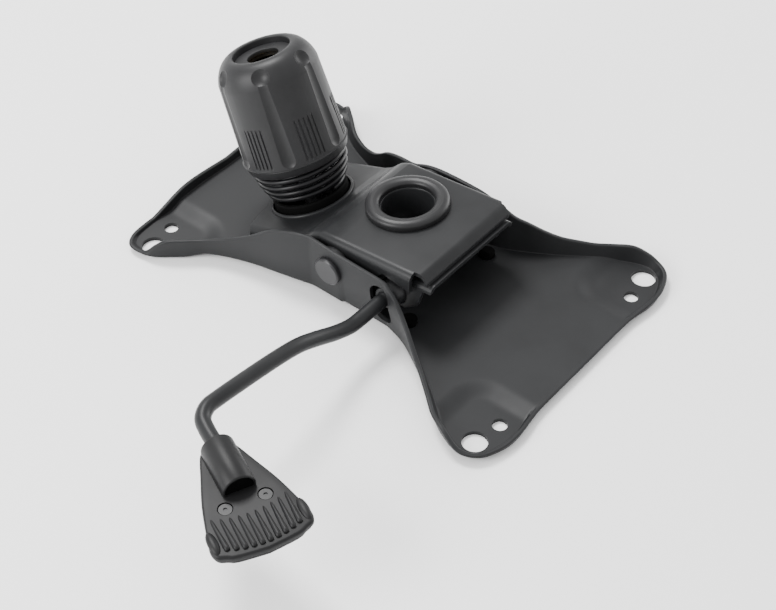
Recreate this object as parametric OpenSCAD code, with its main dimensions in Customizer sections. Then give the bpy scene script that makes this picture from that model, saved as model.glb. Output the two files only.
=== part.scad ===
// Office chair tilt mechanism, shown upside down on its seat face.
// +X is the rear of the chair, -X the front with the tension knob, -Y the
// side of the height lever and +Z points away from the seat. The origin is
// the centre of the seat's hole pattern, on the seat face.

/* [Seat plate] */
// Thickness of the pressed steel plate
plate_t = 2.5; // [1.5:0.1:3.5]
// From the large holes' centres to the front edge
front_margin = 17.3; // [12:0.1:24]
// From the large holes' centres to the rear edge
rear_margin = 13.8; // [9:0.1:20]
// From the large holes' centres to the sides of the front ears
front_ear_margin = 10.1; // [8.5:0.1:16]
// From the large holes' centres to the sides of the rear ears
rear_ear_margin = 13.1; // [9:0.1:18]
// Where the straight side walls start, in front
waist_front_x = -22; // [-30:1:-20]
// Where the straight side walls end, behind
waist_rear_x = 30; // [28:1:36]
// How far the floor is raised above the pads at the four corners
floor_lift = 2.5; // [1.5:0.1:4]
// From the large holes' centres to the pads' edge along X
pad_margin_x = 17.7; // [14:0.1:24]
// From the large holes' centres to the pads' edge along Y
pad_margin_y = 25.7; // [23:0.1:33]
// Length of the ramps between the pads and the raised floor
pad_ramp = 13; // [6:1:16]
// Height of the side walls' highest part, near side
wall_top_z = 40; // [38:0.5:44]
// Height of the front rim
front_rim_z = 11; // [9:0.5:14]
// Height of the rim around the front ears
ear_rim_z = 4.4; // [4.2:0.1:8]
// Height of the rear rim
rear_rim_z = 7.4; // [7:0.1:12]

/* [Seat bolt holes] */
// Distance between the large holes along X
big_span_x = 230.4; // [220:0.1:240]
// Distance between the large holes along Y
big_span_y = 154.4; // [146:0.1:164]
// Diameter of the four large holes
big_hole_d = 13.7; // [12:0.1:15]
// How far the small holes lie beyond the large ones along X
hole_out = 3; // [0:0.1:5]
// How far the small holes lie inside the large ones along Y
hole_in = 17; // [14:0.1:20]
// Diameter of a small hole
hole_d = 8.2; // [6:0.1:9]

/* [Pivot] */
// Place of the tilt pivot along X
pivot_x = -8; // [-12:0.5:-4]
// Height of the tilt pivot
pivot_z = 25; // [23:0.5:27]
// Diameter of the pivot rivets
pivot_d = 10; // [8:0.5:11]
// Diameter of the rivets' flat heads
pivot_head_d = 16.5; // [14:0.5:20]
// Thickness of the rivets' flat heads
pivot_head_t = 3; // [2:0.1:4]
// Outside diameter of the nylon bushes' sleeves
bush_sleeve_d = 13; // [12.6:0.1:15]
// Diameter of the nylon bushes' flanges
bush_flange_d = 23; // [18:0.5:24]
// Thickness of the push nuts inside the housing
push_nut_t = 1.6; // [1:0.1:2]
// Diameter of the push nuts
push_nut_d = 17; // [15:0.5:20]

/* [Housing] */
// Thickness of the housing's sheets
sheet_t = 2.5; // [1.5:0.1:3]
// Half width of the cover, outside
cover_y = 40.3; // [39:0.1:41]
// Outside radius of the cover's long bends
cover_bend = 4.5; // [4:0.1:7]
// Half width of the inner channel, outside
channel_y = 35.8; // [34:0.1:36.5]
// Slope of the cover's top, in degrees
web_slope = 5.9; // [4:0.1:7]
// Height of the cover's top above the cone's centre
web_z = 42; // [41:0.1:44]
// Where the cover's rear crease lies
crease_x = 46.4; // [44:0.1:50]
// How far the rear lip reaches past the crease
lip_reach = 4.2; // [3:0.1:6]
// How far the rear lip drops below the crease
lip_drop = 4.4; // [3.5:0.1:4.6]
// Depth of the cover's side lip behind the pivot
side_lip = 7.5; // [6:0.1:9]
// How far the inner channel's web lies under the cover's top
channel_drop = 7.6; // [7.4:0.1:9]
// Rear end of the inner channel's web
channel_rear_x = 53; // [50:0.5:56]

/* [Gas lift cone] */
// Place of the cone along X
cone_x = 3.7; // [3:0.1:6]
// Place of the cone along Y
cone_y = 6; // [3:0.1:7]
// Diameter of the cone tube's cylindrical land for the gas lift's taper
cone_bore_d = 28.4; // [27:0.1:29]
// Outside diameter of the cone tube
cone_tube_d = 34; // [32:0.5:35]
// Length of the cone tube below the cover's top
cone_depth = 20; // [18:0.5:21]
// Outside diameter of the ring around the mouth
ring_d = 47; // [44:0.5:50]
// Height of the ring above the cover's top
ring_h = 5; // [3:0.1:7]

/* [Spring and knob axis] */
// Place of the spring hole's centre along X
spring_x = -62; // [-64:0.5:-60]
// Height of the spring hole's centre
spring_z = 17.5; // [17.2:0.1:19]
// Lean of the spring's axis towards the front, in degrees
lean = 21; // [18:0.1:22]
// Diameter of the spring hole
spring_hole_d = 46.4; // [46:0.1:48]
// Height of the rolled rim around the spring hole
rim_h = 1.3; // [1:0.1:2.5]
// Outside diameter of the spring cup
cup_d = 44.4; // [43:0.1:45.4]
// Height of the spring cup's top above the front face
cup_top = 5.6; // [5:0.1:8]
// Diameter of the spring's wire
wire_d = 3.2; // [2.6:0.1:3.4]
// Distance between the spring's turns
spring_pitch = 4.4; // [4.2:0.1:4.8]
// Number of turns of the spring
spring_turns = 11.75; // [9:0.25:12]
// Middle diameter of the spring at its lower end
spring_low_d = 41; // [40:0.1:44]
// Middle diameter of the spring where it shows
spring_mid_d = 52.6; // [49:0.1:53]
// Middle diameter of the spring at its upper end
spring_top_d = 47; // [45:0.1:49]
// Thickness of the upper spring washer
washer_t = 2.5; // [1.5:0.1:3]
// Thickness of the nylon thrust disc
disc_t = 2; // [1:0.1:3]
// Diameter of the tension bolt
bolt_d = 10; // [8:0.5:10]
// Height of the anchor pin that the bolt swings on
anchor_z = 10.5; // [10.5:0.1:11]
// Diameter of the anchor pin
anchor_pin_d = 5; // [4:0.1:5.5]
// Outside diameter of the bolt's eye
eye_d = 10.4; // [9.5:0.1:10.4]

/* [Tension knob] */
// Height of the knob's lower edge above the front face
knob_low = 27.6; // [24:0.1:30]
// Length of the knob
knob_len = 65.5; // [64:0.5:76]
// Excess of the knob's skirt over the spring's widest diameter
skirt_excess = 9.4; // [8.4:0.1:13.4]
// Diameter of the knob at its shoulder
knob_shoulder_d = 57.4; // [56:0.1:60]
// Diameter of the flat top
knob_top_d = 36; // [35:0.5:44]
// Diameter of the recess in the top
knob_recess_d = 33; // [28:0.5:35]
// Depth of the recess in the top
knob_recess = 6; // [3:0.5:8]
// Wall of the knob around the spring
knob_wall = 2.3; // [1.8:0.1:2.6]
// Number of flutes and finger dimples around the knob
flutes = 6; // [4:1:8]
// Angle of the first flute from the chair's rear, in degrees
flute_start = 11; // [0:1:60]
// Diameter of a finger dimple
dimple_d = 11; // [8:0.5:12]
// Diameter of the hole for the nut's collar
nut_hole_d = 18; // [16:0.5:20]

/* [Height lever] */
// Diameter of the lever's rod
rod_d = 8.2; // [7:0.1:8.6]
// Place of the rod along X
rod_x = 28.3; // [27.5:0.1:29]
// Height of the rod where it leaves the housing
rod_z = 24; // [23.5:0.1:25]
// Height of the rod's outer end and of the handle
handle_z = 52; // [46:0.5:58]
// Distance from the origin to the rod's outer bend along Y
rod_bend_y = 178; // [160:1:200]
// Direction of the handle, turned from +X towards the lever side
handle_turn = 24; // [15:1:35]
// Diameter of the ball bush on the rod
ball_d = 16.4; // [15:0.1:17]
// Width of the lever's slot in the near wall
lever_slot_w = 12.4; // [11:0.1:13]

/* [Handle] */
// Length of the handle from the rod's entry to its front edge
handle_len = 61; // [56:1:80]
// Half width of the handle at its front edge
handle_y = 24.5; // [20:0.5:30]
// Diameter of the barrel around the rod
barrel_d = 16.4; // [15:0.1:19]
// Length of the barrel
barrel_len = 30; // [26:1:40]
// Thickness of the upper handle shell
upper_shell_t = 3; // [2.4:0.1:5]
// Thickness of the lower handle shell
lower_shell_t = 3.2; // [2.4:0.1:6]
// Number of grip ribs
grip_ribs = 10; // [6:1:14]
// Width of a grip rib
rib_w = 3; // [1:0.1:4]
// Diameter of the two screw recesses
screw_recess_d = 7.4; // [5:0.1:8]

/* [Clearances] */
// Gap between pieces that move against each other
gap = 0.3; // [0.2:0.05:0.5]
// Gap between pieces that are fixed to each other
fit = 0.1; // [0.05:0.05:0.2]

/* [Hidden] */

// Roundness of bores, pins and turned pieces
fine = 64;
// Roundness of small pieces
small = 32;
// How far a cut runs past the piece that it cuts
over = 1;

// Colours of the finishes
steel_black = [0.17, 0.17, 0.18];
sheet_black = [0.14, 0.14, 0.15];
plastic_black = [0.11, 0.11, 0.12];
rubber_black = [0.08, 0.08, 0.08];
nylon_grey = [0.30, 0.30, 0.31];
brass = [0.62, 0.50, 0.25];
zinc = [0.45, 0.45, 0.46];

// Levels of the seat plate
floor_top = floor_lift + plate_t;

// Side walls: the cover, the washers' gap and the plate's wall, from inside
bush_flange_t = 3.1;
waist_y = cover_y + gap + bush_flange_t + gap + plate_t;
wall_in_y = waist_y - plate_t;

// One smooth curve through points, with steps pieces between two of them
function curve_at(a, b, c, d, t) =
    0.5 * ((2 * b) + (c - a) * t + (2 * a - 5 * b + 4 * c - d) * t * t
    + (3 * b - a - 3 * c + d) * t * t * t);
function curve(p, steps) = [
    for (i = [0 : len(p) - 2])
    for (k = [0 : steps - 1])
    curve_at(p[max(i - 1, 0)], p[i], p[i + 1], p[min(i + 2, len(p) - 1)], k / steps),
    p[len(p) - 1]];
function reversed(p) = [for (i = [len(p) - 1 : -1 : 0]) p[i]];

// A closed outline moved inwards by a distance, for points that run clockwise
function inward(p, i, d) =
    let (n = len(p), a = p[(i + n - 1) % n], b = p[(i + 1) % n], t = b - a)
    p[i] + d * [t[1], -t[0]] / norm(t);
function inset(p, d) = [for (i = [0 : len(p) - 1]) inward(p, i, d)];

// Places of the large holes, and the edges that follow them
big_x = big_span_x / 2;
big_y = big_span_y / 2;
plate_front = big_x + front_margin;
plate_rear = big_x + rear_margin;
front_ear_y = big_y + front_ear_margin;
rear_ear_y = big_y + rear_ear_margin;
pad_x = big_x - pad_margin_x;
pad_y = big_y - pad_margin_y;

// Shares of the way from the waist to an ear, along X and across
front_flare = [[0.19, 0.10], [0.45, 0.23], [0.68, 0.43], [0.84, 0.70]];
rear_flare = [[0.19, 0.11], [0.46, 0.39], [0.66, 0.64], [0.81, 0.84]];
front_ear_x = -plate_front + 22;
rear_ear_x = plate_rear - 22;
half_points = [
    [-plate_front, 0],
    [-plate_front - 0.6, 26],
    [-plate_front + 0.6, front_ear_y - 37],
    [-plate_front + 0.8, front_ear_y - 20],
    [-plate_front + 2.6, front_ear_y - 7],
    [-plate_front + 9, front_ear_y],
    [front_ear_x, front_ear_y - 1.4],
    for (f = reversed(front_flare))
        [waist_front_x + f[0] * (front_ear_x - waist_front_x),
         waist_y + f[1] * (front_ear_y - waist_y)],
    [waist_front_x, waist_y],
    [waist_rear_x, waist_y],
    for (f = rear_flare)
        [waist_rear_x + f[0] * (rear_ear_x - waist_rear_x),
         waist_y + f[1] * (rear_ear_y - waist_y)],
    [rear_ear_x, rear_ear_y - 0.4],
    [plate_rear - 12, rear_ear_y],
    [plate_rear - 3.6, rear_ear_y - 5.5],
    [plate_rear + 1.6, rear_ear_y - 18],
    [plate_rear + 2.4, rear_ear_y - 31],
    [plate_rear + 0.8, rear_ear_y - 43],
    [plate_rear, rear_ear_y - 54],
    [plate_rear, 0]];
// The straight walls keep two points, so that the curve doesn't bow there
front_half = [for (q = half_points) if (q[0] <= waist_front_x) q];
rear_half = [for (q = half_points) if (q[0] >= waist_rear_x) q];
half_outline = concat(curve(front_half, 3), curve(rear_half, 3));
plate_outline = concat(half_outline,
    [for (i = [len(half_outline) - 2 : -1 : 1]) [half_outline[i][0], -half_outline[i][1]]]);
plate_inside = inset(plate_outline, plate_t);

// Heights of the front rim along Y, which is higher between the ears
front_heights = [
    [-68, ear_rim_z], [-62, ear_rim_z], [-52, front_rim_z - 3.6], [-42, front_rim_z - 1.2],
    [-30, front_rim_z - 0.2], [0, front_rim_z - 1.4], [30, front_rim_z - 0.2],
    [42, front_rim_z - 1.2], [52, front_rim_z - 3.6], [62, ear_rim_z], [68, ear_rim_z]];

// Heights of the walls along X, near side and far side
near_heights = [
    [-plate_front - 6, ear_rim_z], [-big_x - 2.8, ear_rim_z], [2.8 - big_x, ear_rim_z + 0.8],
    [8.2 - big_x, front_rim_z - 0.6], [13.7 - big_x, front_rim_z + 3], [-92, front_rim_z + 3.6],
    [-84, front_rim_z + 4.2],
    [-70, front_rim_z + 8.8], [-59, front_rim_z + 14.8], [-51, wall_top_z - 8.2],
    [-44, wall_top_z - 4.2], [-36, wall_top_z - 1.5], [-26, wall_top_z],
    [-7, wall_top_z - 1.2], [10, wall_top_z - 1.8], [26.5, wall_top_z - 2.2],
    [33, wall_top_z - 4], [39, wall_top_z - 7.4], [45, wall_top_z - 12.6],
    [51.5, wall_top_z - 16.6], [59, rear_rim_z + 11.5], [67, rear_rim_z + 7.7],
    [76, rear_rim_z + 5.4], [83, rear_rim_z + 3.8], [91, rear_rim_z + 3.4],
    [98, rear_rim_z + 4.2], [103, rear_rim_z + 3.8], [big_x - 5, rear_rim_z + 1.2],
    [big_x + 3, rear_rim_z - 1.2], [plate_rear + 6, rear_rim_z - 1.8]];
far_heights = [
    [-plate_front - 6, ear_rim_z], [-big_x - 2.8, ear_rim_z], [2.8 - big_x, ear_rim_z + 0.8],
    [8.2 - big_x, front_rim_z - 0.6], [13.7 - big_x, front_rim_z + 3], [-92, front_rim_z + 3.6],
    [-84, front_rim_z + 1.2],
    [-73, front_rim_z + 0.6], [-63, front_rim_z + 3], [-56, front_rim_z + 7],
    [-49, wall_top_z - 16.5], [-38, wall_top_z - 12.2], [-26, wall_top_z - 9],
    [-14, wall_top_z - 4], [0, wall_top_z - 2], [24, wall_top_z - 2.2],
    [33, wall_top_z - 4.6], [39, wall_top_z - 8.6], [45, wall_top_z - 13.4],
    [51.5, wall_top_z - 16.6], [59, rear_rim_z + 11.5], [67, rear_rim_z + 7.7],
    [76, rear_rim_z + 5.4], [83, rear_rim_z + 3.8], [91, rear_rim_z + 3.4],
    [98, rear_rim_z + 4.2], [103, rear_rim_z + 3.8], [big_x - 5, rear_rim_z + 1.2],
    [big_x + 3, rear_rim_z - 1.2], [plate_rear + 6, rear_rim_z - 1.8]];

// Skin over closed rings of points, all with the same number of points
module skin(rings, folded = false) {
    // A folded ring runs out along a sheet's one face and back along the other
    n = len(rings[0]);
    m = len(rings);
    half = n / 2;
    sides = [
        for (i = [0 : m - 2])
        for (j = [0 : n - 1])
        let (k = (j + 1) % n)
        each [[i * n + j, (i + 1) * n + k, (i + 1) * n + j], [i * n + j, i * n + k, (i + 1) * n + k]]];
    e = (m - 1) * n;
    first = folded
        ? [for (j = [0 : half - 2]) each [[n - 1 - j, n - 2 - j, j + 1], [n - 1 - j, j + 1, j]]]
        : [[for (j = [n - 1 : -1 : 0]) j]];
    last = folded
        ? [for (j = [0 : half - 2]) each [[e + j, e + j + 1, e + n - 2 - j], [e + j, e + n - 2 - j, e + n - 1 - j]]]
        : [[for (j = [0 : n - 1]) e + j]];
    polyhedron(points = [for (r = rings) each r], faces = concat(sides, first, last));
}

// Rings of a round tube that follows a path without twisting
function unit(v) = v / norm(v);
function heading(path, i) =
    unit(path[min(i + 1, len(path) - 1)] - path[max(i - 1, 0)]);
function ring_at(c, dir, up, r, sides) =
    let (u = unit(cross(dir, up)), w = cross(u, dir))
    [for (k = [0 : sides - 1]) c + r * (cos(360 * k / sides) * u + sin(360 * k / sides) * w)];
function tube_rings(path, r, up, sides) =
    [for (i = [0 : len(path) - 1]) ring_at(path[i], heading(path, i), up, r, sides)];

// Turned piece along Y between two planes
module along_y(y0, y1, d, faces = fine) {
    translate([0, y0, 0]) rotate([-90, 0, 0]) cylinder(h = y1 - y0, d = d, $fn = faces);
}

// Seat plate
module corner_block(sx, sy, z) {
    // One corner of the plan, wider at its upper side by the ramp
    reach = 60;
    lo = [pad_x, pad_y];
    hi = [pad_x - pad_ramp, pad_y - pad_ramp];
    far = lo + [reach, reach];
    mirror([sx < 0 ? 1 : 0, 0, 0]) mirror([0, sy < 0 ? 1 : 0, 0])
    translate([0, 0, z])
    polyhedron(
        points = [[lo[0], lo[1], 0], [far[0], lo[1], 0], [far[0], far[1], 0], [lo[0], far[1], 0],
            [hi[0], hi[1], floor_lift], [far[0], hi[1], floor_lift],
            [far[0], far[1], floor_lift], [hi[0], far[1], floor_lift]],
        faces = [[0, 1, 2, 3], [7, 6, 5, 4], [0, 4, 5, 1], [1, 5, 6, 2], [2, 6, 7, 3], [3, 7, 4, 0]]);
}

module wall_profile(heights, sy) {
    // Everything under the wall's top line, on one side of the plate
    top = curve(heights, 2);
    low = -5;
    line = concat([[top[0][0], low]], top, [[top[len(top) - 1][0], low]]);
    translate([0, sy < 0 ? 0 : 120, 0]) rotate([90, 0, 0]) linear_extrude(height = 120) polygon(line);
}

module front_profile() {
    // Everything under the front rim's top line, in front of the ears' holes
    top = curve(front_heights, 2);
    low = -5;
    line = concat([[top[0][0], low]], top, [[top[len(top) - 1][0], low]]);
    translate([-plate_front - 8, 0, 0])
        rotate([90, 0, 90]) linear_extrude(height = 20) polygon(line);
}

// The lever's slot in the near wall, between two round ends
slot_high = [rod_x - 1.3, rod_z + 3];
slot_low = [rod_x + 0.3, rod_z - 9.5];
module lever_slot() {
    run = slot_low - slot_high;
    for (p = [slot_high, slot_low])
        translate([p[0], 0, p[1]]) along_y(-waist_y - over, -wall_in_y + over, lever_slot_w);
    translate([slot_high[0], -waist_y - over, slot_high[1]])
        rotate([0, atan2(-run[1], run[0]), 0])
        translate([0, 0, -lever_slot_w / 2])
        cube([norm(run), plate_t + 2 * over, lever_slot_w]);
}

bumper_x = -46;
bumper_y = 24;
bumper_stem_d = 5;
module seat_plate() {
    color(steel_black)
    difference() {
        intersection() {
            linear_extrude(height = wall_top_z + 5) polygon(plate_outline);
            union() {
                wall_profile(near_heights, -1);
                wall_profile(far_heights, 1);
                front_profile();
            }
        }
        translate([0, 0, floor_top])
            linear_extrude(height = wall_top_z + 5) polygon(plate_inside);
        intersection() {
            translate([0, 0, plate_t]) linear_extrude(height = wall_top_z) polygon(plate_inside);
            union() {
                for (sx = [-1, 1])
                    for (sy = [-1, 1])
                        corner_block(sx, sy, plate_t);
            }
        }
        difference() {
            translate([-200, -150, -over]) cube([400, 300, floor_lift + over]);
            for (sx = [-1, 1])
                for (sy = [-1, 1])
                    corner_block(sx, sy, 0);
        }
        for (sx = [-1, 1]) {
            for (sy = [-1, 1]) {
                translate([sx * big_x, sy * big_y, -over])
                    cylinder(h = 12, d = big_hole_d, $fn = fine);
                translate([sx * (big_x + hole_out), sy * (big_y - hole_in), -over])
                    cylinder(h = 12, d = hole_d, $fn = fine);
            }
        }
        lever_slot();
        translate([pivot_x, 0, pivot_z])
            along_y(-waist_y - over, -wall_in_y + over, pivot_d + 2 * fit);
        translate([pivot_x, 0, pivot_z])
            along_y(wall_in_y - over, waist_y + over, pivot_d + 2 * fit);
        for (sy = [-1, 1])
            translate([bumper_x, sy * bumper_y, 0])
                cylinder(h = 12, d = bumper_stem_d + 2 * fit, $fn = small);
    }
}

// Housing: heights of the cover's top and of both sheets along X
rise = tan(web_slope);
fall = tan(lean);
function web_top(x) = web_z + rise * (x - cone_x);
function front_top(x) = spring_z + fall * (x - spring_x);
web_start_x = -20;
front_end_x = -40;
crease_z = web_top(crease_x);
cover_tops = concat(
    [[-88, front_top(-88)], [-75, front_top(-75)], [-60, front_top(-60)], [-48, front_top(-48)]],
    curve([[front_end_x, front_top(front_end_x)],
        [-33, front_top(-33) + 1.6], [-26.5, web_top(-26.5) - 2.4], [web_start_x, web_top(web_start_x)]], 2),
    [[-8, web_top(-8)], [8, web_top(8)], [18, web_top(18)], [24, web_top(24)],
        [40, web_top(40)], [crease_x, crease_z],
        [crease_x + 1.4, crease_z - 0.8],
        [crease_x + lip_reach, crease_z - lip_drop]]);
// Lower edge of the cover's side walls
pivot_skirt_z = pivot_z - 12.5;
cover_lows = [[-88, -4], [-75, 7.6], [-30, 8.6], [pivot_x, pivot_skirt_z], [8, pivot_skirt_z + 4],
    [18, web_top(18) - side_lip - 6], [24, web_top(24) - side_lip], [crease_x + 8, web_top(crease_x) - side_lip - 7]];
function look(t, x) = lookup(x, t);

// Ring of an upturned channel's section at one place along X
bend_steps = 4;
function bend(cy, cz, r, a0, a1) =
    [for (k = [0 : bend_steps]) let (a = a0 + (a1 - a0) * k / bend_steps) [cy + r * cos(a), cz + r * sin(a)]];
function channel_ring(x, zt, zb, yo, t, r) =
    let (low = min(zb, zt - r - 0.2),
        out = concat([[yo, low]], bend(yo - r, zt - r, r, 0, 90), bend(r - yo, zt - r, r, 90, 180), [[-yo, low]]),
        ri = r - t,
        inn = concat([[t - yo, low]], bend(r - yo, zt - r, ri, 180, 90), bend(yo - r, zt - r, ri, 90, 0),
            [[yo - t, low]]))
    [for (q = reversed(concat(out, inn))) [x, q[0], q[1]]];

// Moves its children to the spring's axis, with Z along the bolt
module on_spring_axis() {
    translate([spring_x, 0, spring_z]) rotate([0, -lean, 0]) children();
}

// Moves its children to the cone's axis, square to the cover's top
module on_cone_axis() {
    translate([cone_x, cone_y, web_z]) rotate([0, -web_slope, 0]) children();
}

nose_r = spring_hole_d / 2 + 2.6;
nose = [for (a = [140 : 10 : 220]) [spring_x + nose_r * cos(a), nose_r * sin(a)]];
cover_corner = [[60, cover_y + over], [spring_x - 11.2, cover_y + over],
    [spring_x - 15.2, cover_y - 4], [spring_x - 18.2, cover_y - 14]];
cover_plan = concat(cover_corner, nose, [for (q = reversed(cover_corner)) [q[0], -q[1]]]);
relief_x = 4;
module housing_cover() {
    color(sheet_black)
    difference() {
        union() {
            intersection() {
                skin([for (p = cover_tops)
                    channel_ring(p[0], p[1], look(cover_lows, p[0]), cover_y, sheet_t, cover_bend)], true);
                linear_extrude(height = 100, center = true) polygon(cover_plan);
            }
            on_spring_axis() translate([0, 0, -sheet_t / 2])
                cylinder(h = sheet_t / 2 + rim_h, d = spring_hole_d + 4, $fn = fine);
        }
        on_spring_axis() translate([0, 0, -12]) cylinder(h = 30, d = spring_hole_d, $fn = fine);
        on_cone_axis() translate([0, 0, -12]) cylinder(h = 24, d = cone_tube_d + 2 * fit, $fn = fine);
        for (sy = [-1, 1])
            translate([crease_x - relief_x, sy > 0 ? channel_y : -cover_y - over, 0])
                cube([20, cover_y - channel_y + over, 60]);
        translate([pivot_x, 0, pivot_z])
            along_y(-cover_y - over, -channel_y - fit, bush_sleeve_d + 2 * fit);
        translate([pivot_x, 0, pivot_z])
            along_y(channel_y + fit, cover_y + over, bush_sleeve_d + 2 * fit);
    }
}

// Inner channel, which lies under the cover's front and below its web behind
channel_gap = sheet_t / cos(lean) + fit;
channel_close = sheet_t + fit;
joggle_x = 22;
joggle_len = 14;
channel_tops = concat(
    [[-73, front_top(-73) - channel_gap], [-58, front_top(-58) - channel_gap]],
    curve([[-44, front_top(-44) - channel_gap], [-36, front_top(-36) - channel_gap - 0.2],
        [-29, web_top(-29) - channel_close - 7], [-22, web_top(-22) - channel_close - 1.6],
        [-16, web_top(-16) - channel_close]], 2),
    [[pivot_x, web_top(pivot_x) - channel_close], [joggle_x, web_top(joggle_x) - channel_close],
        [joggle_x + joggle_len, web_top(joggle_x + joggle_len) - channel_drop],
        [44, web_top(44) - channel_drop],
        [48, web_top(48) - channel_drop], [channel_rear_x, web_top(channel_rear_x) - channel_drop]]);
channel_lows = [[-73, floor_top + 0.8], [-58, 8], [-40, 9], [pivot_x, pivot_skirt_z], [20, 14.5], [34, 15],
    [40, 17.5], [44, 22], [46.5, 29], [48, 40], [60, 44]];
channel_bend = 4;
bolt_hole_d = 32;
socket_hole_d = ball_d + 2 * gap;
bumper_gap_z = 0.3;
module inner_channel() {
    color(sheet_black)
    difference() {
        skin([for (p = channel_tops)
            channel_ring(p[0], p[1], look(channel_lows, p[0]), channel_y, sheet_t, channel_bend)], true);
        on_spring_axis() translate([0, 0, -20]) cylinder(h = 30, d = bolt_hole_d, $fn = fine);
        on_cone_axis() translate([0, 0, -24]) cylinder(h = 24, d = cone_tube_d + 2 * fit, $fn = fine);
        translate([pivot_x, 0, pivot_z])
            along_y(-channel_y - over, over - channel_y + sheet_t, bush_sleeve_d + 2 * fit);
        translate([pivot_x, 0, pivot_z])
            along_y(channel_y - sheet_t - over, channel_y + over, bush_sleeve_d + 2 * fit);
        translate([rod_x, 0, rod_z])
            along_y(-channel_y - over, over - channel_y + sheet_t, socket_hole_d);
    }
}

// Gas lift cone
cone_r = cone_bore_d / 2;
land_len = 9;
mouth_flare = 0.6;
taper_in = 0.5;
lip_up = 1;
module cone_tube() {
    color(steel_black)
    on_cone_axis()
    rotate_extrude($fn = fine) polygon([
        [cone_r + mouth_flare, lip_up], [cone_tube_d / 2, lip_up], [cone_tube_d / 2, -cone_depth],
        [cone_r - taper_in, -cone_depth], [cone_r, -cone_depth + 8], [cone_r, -cone_depth + 8 + land_len]]);
}

module cone_ring() {
    ring_r = ring_d / 2;
    color(plastic_black)
    on_cone_axis()
    rotate_extrude($fn = fine) polygon(concat(
        [[cone_tube_d / 2 + fit, 0], [cone_tube_d / 2 + fit, lip_up + fit],
            [cone_r + mouth_flare + 0.6, lip_up + fit]],
        [for (a = [200 : -20 : 0])
            let (w = (ring_r - cone_r - mouth_flare - 0.6) / 2)
            [ring_r - w + w * cos(a), 0.9 * ring_h / 2 + (ring_h / 2) * sin(a) + 0.1 * ring_h / 2]],
        [[ring_r, 0]]));
}

// Pivot rivets, bushes and push nuts, made for the near side and mirrored
rivet_in_y = channel_y - sheet_t - push_nut_t - 2;
module rivet() {
    head = 0.8;
    color(zinc * 0.5)
    translate([pivot_x, 0, pivot_z])
    rotate([90, 0, 0]) rotate_extrude($fn = fine) polygon([
        [0, rivet_in_y], [pivot_d / 2, rivet_in_y], [pivot_d / 2, waist_y],
        [pivot_head_d / 2, waist_y], [pivot_head_d / 2, waist_y + pivot_head_t - head],
        [pivot_head_d / 2 - head, waist_y + pivot_head_t], [0, waist_y + pivot_head_t]]);
}

module bush() {
    bore = pivot_d / 2 + gap;
    color(nylon_grey * 0.4)
    translate([pivot_x, 0, pivot_z])
    rotate([90, 0, 0]) rotate_extrude($fn = fine) polygon([
        [bore, channel_y - sheet_t], [bush_sleeve_d / 2, channel_y - sheet_t],
        [bush_sleeve_d / 2, cover_y + gap / 3], [bush_flange_d / 2, cover_y + gap / 3],
        [bush_flange_d / 2, wall_in_y - gap], [bore, wall_in_y - gap]]);
}

module push_nut() {
    color(zinc * 0.6)
    translate([pivot_x, 0, pivot_z])
    rotate([90, 0, 0]) rotate_extrude($fn = fine) polygon([
        [pivot_d / 2 + fit, rivet_in_y + 1.7], [push_nut_d / 2, rivet_in_y + 1.7],
        [push_nut_d / 2, rivet_in_y + 1.7 + push_nut_t], [pivot_d / 2 + fit, rivet_in_y + 1.7 + push_nut_t]]);
}

module pivot_rivet_near() { rivet(); }
module pivot_rivet_far() { mirror([0, 1, 0]) rivet(); }
module pivot_bush_near() { bush(); }
module pivot_bush_far() { mirror([0, 1, 0]) bush(); }
module push_nut_near() { push_nut(); }
module push_nut_far() { mirror([0, 1, 0]) push_nut(); }

// Spring cup, which stands on the inner channel inside the spring hole
cup_wall = 2.4;
module cup_turned() {
    r = cup_d / 2;
    base = -channel_gap * cos(lean) + fit / 2;
    rotate_extrude($fn = fine) polygon([
        [bolt_hole_d / 2 + 0.6, base], [r, base], [r, cup_top - 0.8], [r - 0.8, cup_top],
        [r - cup_wall, cup_top], [r - cup_wall, base + 2.2], [bolt_hole_d / 2 + 0.6, base + 2.2]]);
}
module spring_cup() {
    color(rubber_black) on_spring_axis() cup_turned();
}

// Tension spring: one helical tube whose width follows a few named diameters
ring_steps = 8;
wire_sides = 6;
spring_base = cup_top + wire_d / 2 + fit;
spring_len = spring_pitch * spring_turns;
spring_widths = [[0, spring_low_d], [spring_pitch, spring_mid_d - 7.1], [2 * spring_pitch, spring_mid_d - 3.6],
    [3 * spring_pitch, spring_mid_d - 1], [4 * spring_pitch, spring_mid_d], [spring_len, spring_top_d]];
function spring_point(i) =
    let (h = spring_pitch * i / ring_steps, r = lookup(h, spring_widths) / 2, a = 360 * i / ring_steps)
    [r * cos(a), r * sin(a), spring_base + h];
spring_rings = floor(spring_turns * ring_steps);
spring_path = [for (i = [0 : spring_rings]) spring_point(i)];
spring_gaps = [
    for (i = [0 : spring_rings])
    for (j = [i + ring_steps - 2 : min(i + ring_steps + 2, spring_rings)])
    norm(spring_path[i] - spring_path[j]) - wire_d];
echo("least gap of the spring to itself in mm", min(spring_gaps));
module tension_spring() {
    color(steel_black)
    on_spring_axis()
    skin(tube_rings(spring_path, wire_d / 2, [0, 0, 1], wire_sides));
}

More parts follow.
